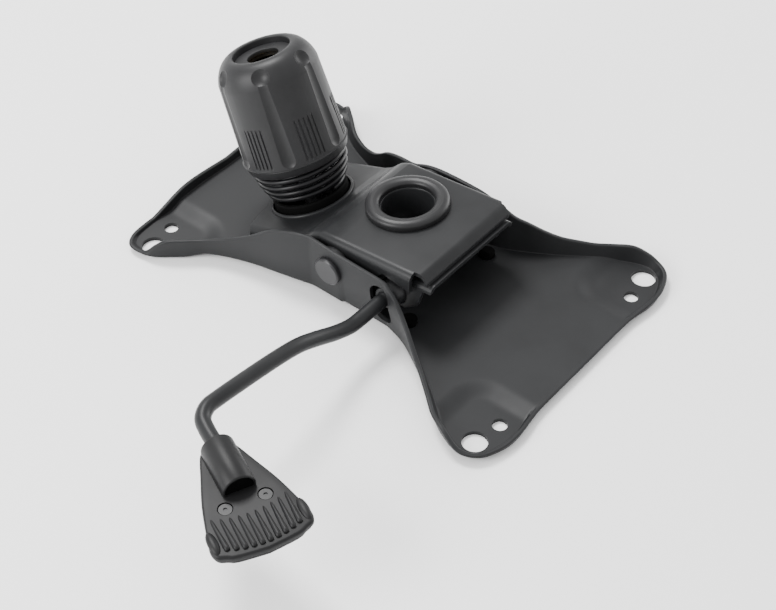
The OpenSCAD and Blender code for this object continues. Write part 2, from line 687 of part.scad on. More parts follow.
// Carrier on the spring's top: steel washer and nylon disc
washer_z = spring_base + spring_len + wire_d / 2 + gap;
disc_z = washer_z + washer_t;
nut_z = disc_z + disc_t + gap;
bolt_bore = bolt_d + 2 * gap;
washer_d = spring_top_d + wire_d;
module spring_washer() {
    color(zinc * 0.6)
    on_spring_axis() translate([0, 0, washer_z])
    difference() {
        cylinder(h = washer_t, d = washer_d, $fn = fine);
        translate([0, 0, -over]) cylinder(h = washer_t + 2 * over, d = bolt_bore, $fn = fine);
    }
}
module thrust_disc() {
    color(nylon_grey)
    on_spring_axis() translate([0, 0, disc_z])
    difference() {
        cylinder(h = disc_t, d = washer_d - 8, $fn = fine);
        translate([0, 0, -over]) cylinder(h = disc_t + 2 * over, d = bolt_bore, $fn = fine);
    }
}

// Knob: nut, shell and cap
nut_flange_d = 34;
nut_flange_t = 4;
nut_hex = 17;
knob_top = knob_low + knob_len;
nut_len = knob_top - knob_recess - nut_z - 5;
module knob_nut() {
    color(brass)
    on_spring_axis() translate([0, 0, nut_z])
    difference() {
        union() {
            cylinder(h = nut_flange_t, d = nut_flange_d, $fn = fine);
            cylinder(h = nut_len, d = nut_hex / cos(30), $fn = 6);
        }
        translate([0, 0, -over]) cylinder(h = nut_len + 2 * over, d = bolt_bore, $fn = fine);
    }
}

skirt_r = (spring_mid_d + skirt_excess) / 2;
shoulder_r = knob_shoulder_d / 2;
shoulder_z = knob_top - 12.5;
shoulder_edge = 20;
skirt_band = 5;
module knob_body() {
    // Turned outside: skirt band, tapered grip, round shoulder and flat top
    rise_share = 1 - sin(shoulder_edge);
    dome = [for (a = [shoulder_edge : 10 : 90])
        [knob_top_d / 2 + (shoulder_r - knob_top_d / 2) * cos(a) / cos(shoulder_edge),
         shoulder_z + (knob_top - shoulder_z) * (sin(a) - sin(shoulder_edge)) / rise_share]];
    in_low = skirt_r - knob_wall - 0.4;
    in_high = (washer_d / 2) + 0.6;
    nut_bore = nut_hex / cos(30) / 2 + 0.6;
    rotate_extrude($fn = fine) polygon(concat(
        [[in_low, knob_low], [skirt_r - 1.8, knob_low], [skirt_r - 1.4, knob_low + 0.4],
            [skirt_r - 0.2, knob_low + skirt_band - 0.5], [skirt_r, knob_low + skirt_band - 0.3],
            [skirt_r, knob_low + skirt_band], [skirt_r - 0.6, knob_low + skirt_band + 0.3]],
        dome,
        [[knob_recess_d / 2, knob_top], [knob_recess_d / 2, knob_top - knob_recess],
            [nut_bore, knob_top - knob_recess],
            [nut_bore, nut_z + nut_flange_t + fit], [nut_flange_d / 2 + fit, nut_z + nut_flange_t + fit],
            [nut_flange_d / 2 + fit, nut_z], [in_high, nut_z]]));
}

flute_r = 6.5;
flute_deep = 1.4;
dish_lean = 50;
dish_r = 7.6;
dish_out = 5.8;
groove_w = 1;
groove_deep = 0.7;
groove_count = 5;
groove_step = 2.7;
groove_len = 25;
side_lean = atan2(skirt_r - 0.6 - shoulder_r, shoulder_z - knob_low - skirt_band);
module knob_shell() {
    color(plastic_black)
    on_spring_axis()
    difference() {
        knob_body();
        for (k = [0 : flutes - 1])
            rotate([0, 0, flute_start + 360 * k / flutes]) {
                translate([shoulder_r + flute_r - flute_deep, 0, shoulder_z])
                    rotate([0, 180 - side_lean, 0])
                    cylinder(h = shoulder_z - knob_low - skirt_band - 1.5, r = flute_r, $fn = small);
                translate([shoulder_r - 2, 0, shoulder_z + dimple_d / 2])
                    rotate([0, dish_lean, 0]) translate([0, 0, dish_out]) sphere(r = dish_r, $fn = small);
                rotate([0, 0, 180 / flutes])
                for (g = [0 : groove_count - 1])
                    translate([skirt_r - 0.6, (g - (groove_count - 1) / 2) * groove_step, knob_low + skirt_band + 1.5])
                    rotate([0, -side_lean, 0])
                    translate([-groove_deep, -groove_w / 2, 0]) cube([6, groove_w, groove_len]);
            }
    }
}

module knob_cap() {
    color(plastic_black * 0.7)
    on_spring_axis() translate([0, 0, knob_top - knob_recess])
    difference() {
        cylinder(h = 2.4, d = knob_recess_d - 2 * fit, $fn = fine);
        translate([0, 0, -over]) cylinder(h = 6, d = nut_hole_d, $fn = fine);
    }
}

// Tension bolt with its eye, on an anchor pin between two lugs
anchor_x = spring_x + (spring_z - anchor_z) * fall;
eye_half = 6;
lug_t = 2.5;
lug_in = eye_half + gap;
bolt_end = knob_top - knob_recess - 6;
eye_bore = anchor_pin_d + 2 * gap;
module tension_bolt() {
    color(zinc * 0.7)
    difference() {
        union() {
            translate([anchor_x, 0, anchor_z]) rotate([0, -lean, 0])
                cylinder(h = (spring_z - anchor_z) / cos(lean) + bolt_end, d = bolt_d, $fn = fine);
            translate([anchor_x, 0, anchor_z]) along_y(-eye_half, eye_half, eye_d);
        }
        translate([anchor_x, 0, anchor_z]) along_y(-eye_half - over, eye_half + over, eye_bore);
    }
}

lug_half = 5;
lug_foot = 6;
foot_t = 1.4;
module bolt_lugs() {
    color(steel_black)
    for (s = [0, 1])
        mirror([0, s, 0])
        difference() {
            union() {
                translate([anchor_x - lug_half, lug_in, floor_top])
                    cube([2 * lug_half, lug_t, anchor_z - floor_top]);
                translate([anchor_x, 0, anchor_z]) along_y(lug_in, lug_in + lug_t, 2 * lug_half);
                translate([anchor_x - lug_half, lug_in, floor_top])
                    cube([2 * lug_half, lug_t + lug_foot, foot_t]);
            }
            translate([anchor_x, 0, anchor_z]) along_y(lug_in - over, lug_in + lug_t + over, anchor_pin_d + 2 * fit);
        }
}

module anchor_pin() {
    end_y = lug_in + lug_t + 1.5;
    color(zinc * 0.6)
    translate([anchor_x, 0, anchor_z]) {
        along_y(-end_y, end_y, anchor_pin_d);
        for (s = [-1, 1])
            along_y(s < 0 ? -end_y : end_y - 1.4, s < 0 ? 1.4 - end_y : end_y, anchor_pin_d + 2.4);
    }
}

// Rubber stops
function channel_under(x) = front_top(x) - channel_gap - sheet_t / cos(lean);
bumper_d = 13;
module front_bumpers() {
    low_side = channel_under(bumper_x - bumper_d / 2) - bumper_gap_z / cos(lean);
    high = low_side - floor_top;
    r = bumper_d / 2;
    color(rubber_black)
    for (sy = [-1, 1])
        translate([bumper_x, sy * bumper_y, 0])
        rotate_extrude($fn = small) polygon([
            [0, 0.5], [bumper_stem_d / 2, 0.5], [bumper_stem_d / 2, floor_top], [r, floor_top],
            [r - 0.6, floor_top + high - 0.6], [r - 1.4, floor_top + high], [0, floor_top + high]]);
}

rear_stop_x = 38;
rear_stop_d = 9;
rear_stop_h = 2.8;
module rear_bumpers() {
    color(rubber_black)
    for (sy = [-1, 1])
        translate([rear_stop_x, sy * (channel_y - sheet_t / 2), floor_top])
        cylinder(h = rear_stop_h, d = rear_stop_d, $fn = small);
}

// Height lever: rod, ball bush, socket, collar and handle
ball_y = -channel_y + sheet_t / 2;
rod_r = rod_d / 2;
handle_dir = [cos(handle_turn), -sin(handle_turn), 0];
barrel_start = [rod_x + 19.4, -rod_bend_y - 11, handle_z];
rod_in_end = [cone_x + 1, cone_y + 2, rod_z - 12];
rod_points = [
    rod_in_end, [cone_x + 4, cone_y - 4, rod_z - 12], [rod_x - 12, -9, rod_z - 8], [rod_x - 1.6, -19, rod_z - 1.4],
    [rod_x, -23.5, rod_z], [rod_x, -26, rod_z],
    [rod_x, -44, rod_z], [rod_x, -54, rod_z], [rod_x, -64, rod_z], [rod_x, -72, rod_z + 0.8], [rod_x, -84, rod_z + 5.4],
    [rod_x, -98, rod_z + 12.4], [rod_x, -110, rod_z + 17.6], [rod_x, -122, rod_z + 20.6],
    [rod_x, -140, rod_z + 23.6], [rod_x, 12 - rod_bend_y, handle_z - 1],
    [rod_x + 0.6, 3 - rod_bend_y, handle_z], [rod_x + 4.2, -3.6 - rod_bend_y, handle_z],
    [rod_x + 10.6, -7.4 - rod_bend_y, handle_z], barrel_start, barrel_start + 6 * handle_dir,
    barrel_start + (barrel_len - 3) * handle_dir];
rod_sides = 16;
module lever_rod() {
    color(steel_black)
    skin(tube_rings(curve(rod_points, 3), rod_r, [0, 0, 1], rod_sides));
}

module ball_bush() {
    // Nylon ball that is pressed on the rod and turns in the housing's wall
    bore = rod_d / 2 + fit;
    edge = acos(bore / (ball_d / 2));
    color(nylon_grey * 0.35)
    translate([rod_x, ball_y, rod_z])
    rotate([90, 0, 0])
    rotate_extrude($fn = fine)
        polygon([for (k = [-8 : 8]) (ball_d / 2) * [cos(edge * k / 8), sin(edge * k / 8)]]);
}

retainer_d = 20;
retainer_t = 5;
module bush_retainer() {
    // Ring on the wall's inner side with a round seat for the ball
    color(nylon_grey)
    translate([rod_x, 0, rod_z])
    difference() {
        along_y(-channel_y + sheet_t + fit, -channel_y + sheet_t + retainer_t, retainer_d);
        translate([0, ball_y, 0]) sphere(d = ball_d + 2 * gap, $fn = fine);
    }
}

module rod_collar() {
    color(zinc * 0.7)
    translate([rod_x, 0, rod_z])
    difference() {
        along_y(ball_y - ball_d / 2 - 1.2, ball_y - ball_d / 2 + 0.9, rod_d + 4);
        along_y(ball_y - ball_d, ball_y, rod_d + 2 * fit);
        translate([0, ball_y, 0]) sphere(d = ball_d + 2 * fit, $fn = fine);
    }
}

// Handle outline in its own frame: X along the barrel, Y across
handle_seam = 0.2;
top_z = -1.6;
front_bow = 3.5;
function handle_plan(inset) =
    let (w0 = barrel_d / 2 + 1.4 - inset, w1 = handle_y - inset, front = handle_len - inset,
        side = [[inset, w0 - 2.4], [4, w0], [14, w0 + 3.6], [30, w0 + 9.2], [front - 13, w1 - 1.2],
            [front - 6, w1], [front - 1.6, w1 - 1.6], [front, w1 - 5], [front + 0.55 * front_bow, 0.6 * w1],
            [front + front_bow, 0]])
    concat(side, [for (i = [len(side) - 2 : -1 : 0]) [side[i][0], -side[i][1]]]);
module on_handle() {
    translate(barrel_start) rotate([0, 0, -handle_turn]) children();
}

barrel_back = 1.5;
module handle_upper() {
    color(plastic_black)
    on_handle()
    difference() {
        union() {
            translate([0, 0, top_z - upper_shell_t])
                linear_extrude(height = upper_shell_t) polygon(handle_plan(0));
            translate([barrel_back, 0, 0]) rotate([0, 90, 0])
                cylinder(h = barrel_len - barrel_back, d = barrel_d, $fn = fine);
            for (k = [0 : grip_ribs - 1])
                let (a = -1 + 2 * k / (grip_ribs - 1), y = a * (handle_y - 6.5), bow = front_bow * (1 - a * a))
                translate([handle_len - 22 + bow, y, top_z])
                rotate([0, 90, -2 * a])
                cylinder(h = 19, r1 = rib_w * 0.3, r2 = rib_w * 0.6, $fn = 16);
        }
        translate([barrel_back - over, 0, 0]) rotate([0, 90, 0])
            cylinder(h = barrel_len - barrel_back - 3, d = rod_d + 2 * fit, $fn = fine);
        translate([barrel_len - 6, 0, 0]) rotate([0, 90, 0]) cylinder(h = 12, d = barrel_d - 3.6, $fn = fine);
        for (s = [-1, 1])
            translate([screw_x, s * screw_y, 0]) {
                translate([0, 0, top_z - 1.4]) cylinder(h = 12, d = screw_recess_d, $fn = small);
                translate([0, 0, -12]) cylinder(h = 12, d = screw_d + 2 * fit, $fn = small);
            }
    }
}

screw_x = 36;
screw_y = 9.8;
screw_d = 3;
module handle_lower() {
    color(plastic_black)
    on_handle()
    difference() {
        translate([0, 0, top_z - upper_shell_t - handle_seam - lower_shell_t])
            linear_extrude(height = lower_shell_t) polygon(handle_plan(0.7));
        translate([-over, 0, 0]) rotate([0, 90, 0])
            cylinder(h = barrel_len + 2 * over, d = barrel_d + 2 * fit, $fn = fine);
        for (s = [-1, 1])
            translate([screw_x, s * screw_y, top_z - upper_shell_t - 4]) cylinder(h = 12, d = screw_d + 2 * fit, $fn = small);
    }
}

module handle_screws() {
    color(zinc * 0.6)
    on_handle()
    for (s = [-1, 1])
        translate([screw_x, s * screw_y, 0])
        rotate_extrude($fn = small) polygon([
            [0, top_z - upper_shell_t - 2.8], [screw_d / 2, top_z - upper_shell_t - 2.8],
            [screw_d / 2, top_z - 1.3], [screw_recess_d / 2 - 0.3, top_z - 1.3],
            [screw_recess_d / 2 - 0.5, top_z - 0.4], [1, top_z - 0.4], [1, top_z - 0.9], [0, top_z - 0.9]]);
}

seat_plate();
housing_cover();
inner_channel();
cone_tube();
cone_ring();
pivot_rivet_near();
pivot_rivet_far();
pivot_bush_near();
pivot_bush_far();
push_nut_near();
push_nut_far();
spring_cup();
tension_spring();
spring_washer();
thrust_disc();
knob_shell();
knob_cap();
knob_nut();
tension_bolt();
bolt_lugs();
anchor_pin();
front_bumpers();
rear_bumpers();
lever_rod();
ball_bush();
bush_retainer();
rod_collar();
handle_upper();
handle_lower();
handle_screws();
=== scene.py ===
"""Looks for the office chair tilt mechanism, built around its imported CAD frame.

The mechanism lies upside down on its seat face. +X is the chair's rear, -X its
front with the tension knob, -Y the side of the height lever. Sizes in the
classes are in millimetres and every mesh is made in metres.
"""

import logging
import math
from dataclasses import dataclass, field
from enum import Enum
from typing import Any, Callable, Sequence

import bmesh
import bpy
from mathutils import Matrix, Vector


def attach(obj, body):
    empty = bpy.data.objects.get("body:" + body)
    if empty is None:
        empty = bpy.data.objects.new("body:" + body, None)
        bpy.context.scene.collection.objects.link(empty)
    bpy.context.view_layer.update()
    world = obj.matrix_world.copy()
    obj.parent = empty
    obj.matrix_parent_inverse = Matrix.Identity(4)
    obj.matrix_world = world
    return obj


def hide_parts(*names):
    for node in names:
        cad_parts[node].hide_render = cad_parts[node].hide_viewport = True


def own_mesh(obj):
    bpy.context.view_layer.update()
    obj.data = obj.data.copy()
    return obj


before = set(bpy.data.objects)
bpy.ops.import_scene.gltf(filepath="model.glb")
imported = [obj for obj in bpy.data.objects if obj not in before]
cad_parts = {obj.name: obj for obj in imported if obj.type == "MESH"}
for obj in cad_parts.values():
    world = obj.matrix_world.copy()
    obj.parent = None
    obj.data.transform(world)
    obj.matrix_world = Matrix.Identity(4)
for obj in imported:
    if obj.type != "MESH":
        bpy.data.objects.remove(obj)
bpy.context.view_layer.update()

MM = 0.001
WELD_GAP = 0.01
PIVOT = (-8.0, 25.0)
LOG = logging.getLogger("tilt_mechanism")

Point2 = tuple[float, float]
Point3 = tuple[float, float, float]
Ring = list[Vector]


class Slot(Enum):
    """The record's material slots."""

    PLATE = "plate_steel"
    HOUSING = "housing_steel"
    TUBE = "tube_steel"
    RING = "ring_plastic"
    RIVET = "rivet_steel"
    NYLON = "nylon"
    ZINC = "zinc"
    RUBBER = "rubber"
    SPRING = "spring_steel"
    KNOB = "knob_plastic"
    CAP = "cap_plastic"
    BRASS = "brass"
    LEVER = "lever_steel"
    HANDLE = "handle_plastic"


class Body(Enum):
    """The frame's bodies."""

    SEAT = "seat"
    HOUSING = "housing"
    CARRIER = "carrier"
    KNOB = "knob"
    LEVER = "lever"


class Flow:
    """One value, colour or vector of a shader, with arithmetic that adds nodes."""

    def __init__(self, graph: "Graph", socket: bpy.types.NodeSocket) -> None:
        """Wraps an output socket.

        Args:
            graph: The material's node graph.
            socket: The output that carries the value.
        """
        self.graph = graph
        self.socket = socket

    def _maths(self, operation: str, first: Any, second: Any) -> "Flow":
        """Adds a Math node.

        Args:
            operation: Name of the Math node's operation.
            first: First value or Flow.
            second: Second value or Flow.

        Returns:
            The node's result.
        """
        return self.graph.node("ShaderNodeMath", {"operation": operation}, {0: first, 1: second})

    def __add__(self, other: Any) -> "Flow":
        """Sum of two values."""
        return self._maths("ADD", self, other)

    __radd__ = __add__

    def __sub__(self, other: Any) -> "Flow":
        """Difference of two values."""
        return self._maths("SUBTRACT", self, other)

    def __mul__(self, other: Any) -> "Flow":
        """Product of two values."""
        return self._maths("MULTIPLY", self, other)

    __rmul__ = __mul__

    def clamped(self) -> "Flow":
        """The value kept from 0 to 1."""
        return self._maths("MINIMUM", self._maths("MAXIMUM", self, 0.0), 1.0)

    def between(self, low: float, high: float) -> "Flow":
        """Rises from 0 at low to 1 at high.

        Args:
            low: Value that gives 0.
            high: Value that gives 1.

        Returns:
            The share, kept from 0 to 1.
        """
        return ((self - low) * (1.0 / (high - low))).clamped()


class Graph:
    """The node graph of one material."""

    def __init__(self, name: str) -> None:
        """Starts a material with an empty graph.

        Args:
            name: Name of the material.
        """
        self.material = bpy.data.materials.new(name)
        self.material.use_nodes = True
        self.tree = self.material.node_tree
        self.tree.nodes.clear()

    def node(
        self,
        kind: str,
        settings: dict[str, Any] | None = None,
        inputs: dict[Any, Any] | None = None,
        output: Any = 0,
    ) -> Flow:
        """Adds a node of any type.

        Args:
            kind: The node's type.
            settings: Properties to set first.
            inputs: Values or Flows by socket name or index.
            output: Name or index of the output to return.

        Returns:
            The chosen output.
        """
        made = self.tree.nodes.new(kind)
        for key, value in (settings or {}).items():
            setattr(made, key, value)
        for key, value in (inputs or {}).items():
            if isinstance(value, Flow):
                self.tree.links.new(value.socket, made.inputs[key])
            else:
                made.inputs[key].default_value = value
        return Flow(self, made.outputs[output])

    def place(self) -> Flow:
        """Place on the object, in metres."""
        return self.node("ShaderNodeTexCoord", output="Object")

    def noise(self, size_mm: float, detail: float = 3.0, rough: float = 0.5) -> Flow:
        """Noise with features of a size.

        Args:
            size_mm: Size of its largest features.
            detail: Octaves of detail.
            rough: Share of the finer octaves.

        Returns:
            A value about 0.5.
        """
        inputs = {"Vector": self.place(), "Scale": 1 / (size_mm * MM), "Detail": detail, "Roughness": rough}
        return self.node("ShaderNodeTexNoise", {"noise_dimensions": "3D"}, inputs, "Fac")

    def tint(self, share: Flow, dark: Point3, light: Point3) -> Flow:
        """Mixes two colours.

        Args:
            share: 0 for the first colour, 1 for the second.
            dark: First colour.
            light: Second colour.

        Returns:
            The mixed colour.
        """
        mix = self.tree.nodes.new("ShaderNodeMix")
        mix.data_type = "RGBA"
        self.tree.links.new(share.socket, mix.inputs[0])
        mix.inputs[6].default_value = (*dark, 1.0)
        mix.inputs[7].default_value = (*light, 1.0)
        return Flow(self, mix.outputs[2])

    def bump(self, height: Flow, depth_mm: float, strength: float = 1.0) -> Flow:
        """Bump from a height.

        Args:
            height: Height from 0 to 1.
            depth_mm: Depth of the full height.
            strength: Share of the effect.

        Returns:
            The bumped normal.
        """
        inputs = {"Height": height, "Distance": depth_mm * MM, "Strength": strength}
        return self.node("ShaderNodeBump", None, inputs, "Normal")

    def surface(self, inputs: dict[str, Any]) -> bpy.types.Material:
        """Ends the graph in one Principled shader.

        Args:
            inputs: Values or Flows for the shader's sockets.

        Returns:
            The finished material.
        """
        shader = self.node("ShaderNodeBsdfPrincipled", None, inputs, "BSDF")
        self.node_output(shader)
        return self.material

    def node_output(self, shader: Flow) -> None:
        """Links a shader to the material's output."""
        end = self.tree.nodes.new("ShaderNodeOutputMaterial")
        self.tree.links.new(shader.socket, end.inputs["Surface"])


@dataclass(frozen=True)
class PowderCoat:
    """Satin black powder paint on steel, with a fine orange peel."""

    name: str
    dark: Point3 = (0.0085, 0.0088, 0.0094)
    light: Point3 = (0.015, 0.0155, 0.0165)
    gloss: float = 0.40
    spread: float = 0.12
    peel_mm: float = 1.1
    peel_depth_mm: float = 0.012
    metal: float = 0.0
    shine: float = 0.22

    def make(self) -> bpy.types.Material:
        """Builds the material.

        Returns:
            The finished material.
        """
        g = Graph(self.name)
        cloud = g.noise(38.0, 4.0, 0.55).between(0.32, 0.68)
        peel = g.noise(self.peel_mm, 2.0)
        grit = g.noise(0.35, 1.0)
        colour = g.tint(cloud * 0.6 + grit * 0.4, self.dark, self.light)
        rough = cloud * self.spread + self.gloss + grit * 0.06
        return g.surface(
            {
                "Base Color": colour,
                "Roughness": rough,
                "Metallic": self.metal,
                "Specular IOR Level": self.shine,
                "Normal": g.bump(peel, self.peel_depth_mm),
            }
        )


@dataclass(frozen=True)
class MouldedPlastic:
    """Black moulded plastic with a fine spark grain."""

    name: str
    dark: Point3 = (0.009, 0.009, 0.0095)
    light: Point3 = (0.017, 0.017, 0.018)
    gloss: float = 0.45
    grain_mm: float = 0.45
    grain_depth_mm: float = 0.02
    shine: float = 0.26

    def make(self) -> bpy.types.Material:
        """Builds the material.

        Returns:
            The finished material.
        """
        g = Graph(self.name)
        grain = g.noise(self.grain_mm, 2.0, 0.6)
        cloud = g.noise(24.0, 3.0).between(0.3, 0.7)
        colour = g.tint(cloud * 0.7 + grain * 0.3, self.dark, self.light)
        return g.surface(
            {
                "Base Color": colour,
                "Roughness": cloud * 0.08 + self.gloss,
                "Specular IOR Level": self.shine,
                "Normal": g.bump(grain, self.grain_depth_mm, 0.7),
            }
        )


@dataclass(frozen=True)
class BareMetal:
    """Plated or drawn metal with fine scratches."""

    name: str
    dark: Point3
    light: Point3
    gloss: float = 0.28
    metal: float = 1.0
    scratch_mm: float = 3.0

    def make(self) -> bpy.types.Material:
        """Builds the material.

        Returns:
            The finished material.
        """
        g = Graph(self.name)
        cloud = g.noise(9.0, 4.0, 0.6).between(0.3, 0.7)
        stretched = g.node(
            "ShaderNodeMapping", {"vector_type": "POINT"}, {"Vector": g.place(), "Scale": (1.0, 1.0, 9.0)}
        )
        scratch = g.node(
            "ShaderNodeTexNoise",
            {"noise_dimensions": "3D"},
            {"Vector": stretched, "Scale": 1 / (self.scratch_mm * MM), "Detail": 4.0, "Roughness": 0.7},
            "Fac",
        )
        return g.surface(
            {
                "Base Color": g.tint(cloud, self.dark, self.light),
                "Roughness": scratch.between(0.3, 0.7) * 0.16 + self.gloss,
                "Metallic": self.metal,
                "Normal": g.bump(scratch, 0.004),
            }
        )


@dataclass
class Paints:
    """Every finish of the mechanism, made once and handed to the pieces."""

    made: dict[Slot, bpy.types.Material] = field(default_factory=dict)

    def make(self) -> "Paints":
        """Makes one material for each slot.

        Returns:
            The finishes themselves.
        """
        recipes = {
            Slot.PLATE: PowderCoat("powder_coat_plate"),
            Slot.HOUSING: PowderCoat("black_dip_housing", gloss=0.33, peel_mm=1.6),
            Slot.TUBE: PowderCoat("black_dip_tube", gloss=0.3, peel_mm=2.2),
            Slot.RING: MouldedPlastic("ring_moulding", gloss=0.36),
            Slot.RIVET: PowderCoat(
                "blackened_rivet",
                (0.016, 0.016, 0.017),
                (0.028, 0.028, 0.03),
                gloss=0.3,
                metal=0.3,
                shine=0.4,
            ),
            Slot.NYLON: MouldedPlastic("black_nylon", gloss=0.34, grain_depth_mm=0.01),
            Slot.ZINC: BareMetal(
                "dark_zinc_plate", (0.035, 0.035, 0.037), (0.07, 0.07, 0.074), gloss=0.36, metal=0.8
            ),
            # Near-black rubber for the cup and the bumpers. The same finish also colours the disc of painted
            # shade inside the handle barrel's mouth.
            Slot.RUBBER: MouldedPlastic(
                "black_rubber_and_painted_shade", (0.0015,) * 3, (0.003,) * 3, gloss=0.65, grain_mm=0.9, shine=0.05
            ),
            Slot.SPRING: PowderCoat(
                "painted_spring_wire",
                (0.004, 0.004, 0.0045),
                (0.008, 0.008, 0.009),
                gloss=0.24,
                peel_mm=1.8,
                peel_depth_mm=0.008,
            ),
            Slot.KNOB: MouldedPlastic("knob_moulding", gloss=0.4),
            Slot.CAP: MouldedPlastic("cap_moulding", gloss=0.46),
            Slot.BRASS: BareMetal("brass_nut", (0.42, 0.29, 0.11), (0.60, 0.44, 0.19), gloss=0.25),
            Slot.LEVER: PowderCoat("powder_coat_rod", gloss=0.32, peel_mm=1.4),
            Slot.HANDLE: MouldedPlastic(
                "handle_moulding", (0.006, 0.006, 0.0064), (0.012, 0.012, 0.0125), gloss=0.42, shine=0.2
            ),
        }
        for slot, recipe in recipes.items():
            self.made[slot] = recipe.make()
        return self

    def on(self, piece: bpy.types.Object, slot: Slot) -> bpy.types.Object:
        """Paints a piece with its slot's finish.

        Args:
            piece: The object.
            slot: The finish's slot.

        Returns:
            The same object.
        """
        piece.data.materials.clear()
        piece.data.materials.append(self.made[slot])
        return piece


def curve_points(points: Sequence[Sequence[float]], steps: int) -> list[tuple[float, ...]]:
    """Smooth curve through points.

    Args:
        points: Points with any number of coordinates.
        steps: Pieces between two points.

    Returns:
        The points of the curve.
    """
    last = len(points) - 1
    out = []
    for i in range(last):
        a, b = points[max(i - 1, 0)], points[i]
        c, d = points[i + 1], points[min(i + 2, last)]
        for k in range(steps):
            t = k / steps
            point = []
            for p, q, r, s in zip(a, b, c, d):
                square, cube = 2 * p - 5 * q + 4 * r - s, 3 * q - p - 3 * r + s
                point.append(0.5 * (2 * q + (r - p) * t + square * t * t + cube * t**3))
            out.append(tuple(point))
    out.append(tuple(points[last]))
    return out


def look_up(table: Sequence[Sequence[float]], x: float) -> float:
    """Value of a table of pairs at x, on straight lines between them.

    Args:
        table: Pairs of place and value, in order.
        x: The place.

    Returns:
        The value at x.
    """
    if x <= table[0][0]:
        return table[0][1]
    for (x0, y0), (x1, y1) in zip(table, table[1:]):
        if x <= x1:
            return y0 + (y1 - y0) * (x - x0) / (x1 - x0)
    return table[-1][1]


def smooth_step(t: float) -> float:
    """Eased share from 0 to 1."""
    t = min(max(t, 0.0), 1.0)
    return t * t * (3 - 2 * t)


def new_piece(name: str, bm: bmesh.types.BMesh, smooth_angle: float = 35.0) -> bpy.types.Object:
    """Turns a mesh in millimetres into an object in metres.

    Args:
        name: The object's name.
        bm: The mesh, freed here.
        smooth_angle: Edges sharper than this stay sharp, in degrees.

    Returns:
        The new object, linked to the scene.
    """
    bmesh.ops.recalc_face_normals(bm, faces=bm.faces)
    mesh = bpy.data.meshes.new(name)
    bm.to_mesh(mesh)
    bm.free()
    mesh.transform(Matrix.Scale(MM, 4))
    soften(mesh, smooth_angle)
    piece = bpy.data.objects.new(name, mesh)
    bpy.context.scene.collection.objects.link(piece)
    return piece


def soften(mesh: bpy.types.Mesh, angle: float) -> None:
    """Smooth shading with sharp edges kept above an angle in degrees."""
    mesh.shade_smooth()
    mesh.set_sharp_from_angle(angle=math.radians(angle))


def skin(bm: bmesh.types.BMesh, rings: Sequence[Ring], closed: bool = False) -> None:
    """Adds faces over rings with equal numbers of points, and over both ends.

    Args:
        bm: The mesh to add to.
        rings: The rings in order.
        closed: True if the last ring joins the first, so there are no ends.
    """
    rows = [[bm.verts.new(p) for p in ring] for ring in rings]
    pairs = list(zip(rows, rows[1:])) + ([(rows[-1], rows[0])] if closed else [])
    n = len(rows[0])
    for low, high in pairs:
        for j in range(n):
            k = (j + 1) % n
            bm.faces.new((low[j], low[k], high[k], high[j]))
    if not closed:
        bm.faces.new(rows[0])
        bm.faces.new(rows[-1])


def around(radius: float, angle: float, z: float) -> Vector:
    """Point at a radius, an angle in radians and a height about Z."""
    return Vector((radius * math.cos(angle), radius * math.sin(angle), z))


def turns(sides: int) -> list[float]:
    """Angles of equal steps round a circle, in radians."""
    return [2 * math.pi * k / sides for k in range(sides)]


def turned(profile: Sequence[Point2], sides: int) -> list[Ring]:
    """Rings of a turned piece about Z.

    Args:
        profile: Pairs of radius and height.
        sides: Steps around.

    Returns:
        One ring for each step around, each with the profile's points.
    """
    return [[around(r, a, z) for r, z in profile] for a in turns(sides)]


def tube_rings(path: Sequence[Vector], radius: float, sides: int) -> list[Ring]:
    """Rings of a round tube that doesn't twist along its path.

    Args:
        path: The points of the middle line.
        radius: The tube's radius.
        sides: Points in each ring.

    Returns:
        The rings.
    """
    rings = []
    normal = None
    for i, point in enumerate(path):
        ahead = (path[min(i + 1, len(path) - 1)] - path[max(i - 1, 0)]).normalized()
        if normal is None:
            normal = ahead.orthogonal().normalized()
        normal = (normal - ahead * normal.dot(ahead)).normalized()
        side = ahead.cross(normal)
        rings.append([point + radius * (math.cos(a) * normal + math.sin(a) * side) for a in turns(sides)])
    return rings


def cylinder_piece(
    name: str, place: Matrix, radius: float, low: float, high: float, sides: int = 64
) -> bpy.types.Object:
    """Plain cylinder to cut with.

    Args:
        name: The object's name.
        place: Its frame in millimetres.
        radius: Radius.
        low: Lower end along its own Z.
        high: Upper end along its own Z.
        sides: Steps around.

    Returns:
        The object.
    """
    bm = bmesh.new()
    skin(bm, [[place @ around(radius, a, z) for a in turns(sides)] for z in (low, high)])
    return new_piece(name, bm)


def prism_piece(name: str, outline: Sequence[Point2], low: float, high: float) -> bpy.types.Object:
    """Upright prism to cut with, from an outline in plan.

    Args:
        name: The object's name.
        outline: Points in plan, in order.
        low: Lower end.
        high: Upper end.

    Returns:
        The object.
    """
    bm = bmesh.new()
    skin(bm, [[Vector((x, y, z)) for x, y in outline] for z in (low, high)])
    return new_piece(name, bm)


def apply_all(piece: bpy.types.Object) -> None:
    """Turns a piece's modifiers into mesh.

    Args:
        piece: The object.
    """
    bpy.context.view_layer.update()
    graph = bpy.context.evaluated_depsgraph_get()
    mesh = bpy.data.meshes.new_from_object(piece.evaluated_get(graph))
    piece.modifiers.clear()
    old = piece.data
    piece.data = mesh
    bpy.data.meshes.remove(old)
    mesh.name = piece.name


def cut(
    piece: bpy.types.Object, cutters: Sequence[bpy.types.Object], operation: str = "DIFFERENCE"
) -> None:
    """Cuts a piece with others and removes those.

    Args:
        piece: The piece to cut.
        cutters: Closed solids.
        operation: The Boolean modifier's operation.
    """
    for cutter in cutters:
        tool = piece.modifiers.new("cut", "BOOLEAN")
        tool.operation = operation
        tool.solver = "EXACT"
        tool.object = cutter
    apply_all(piece)
    for cutter in cutters:
        bpy.data.objects.remove(cutter)


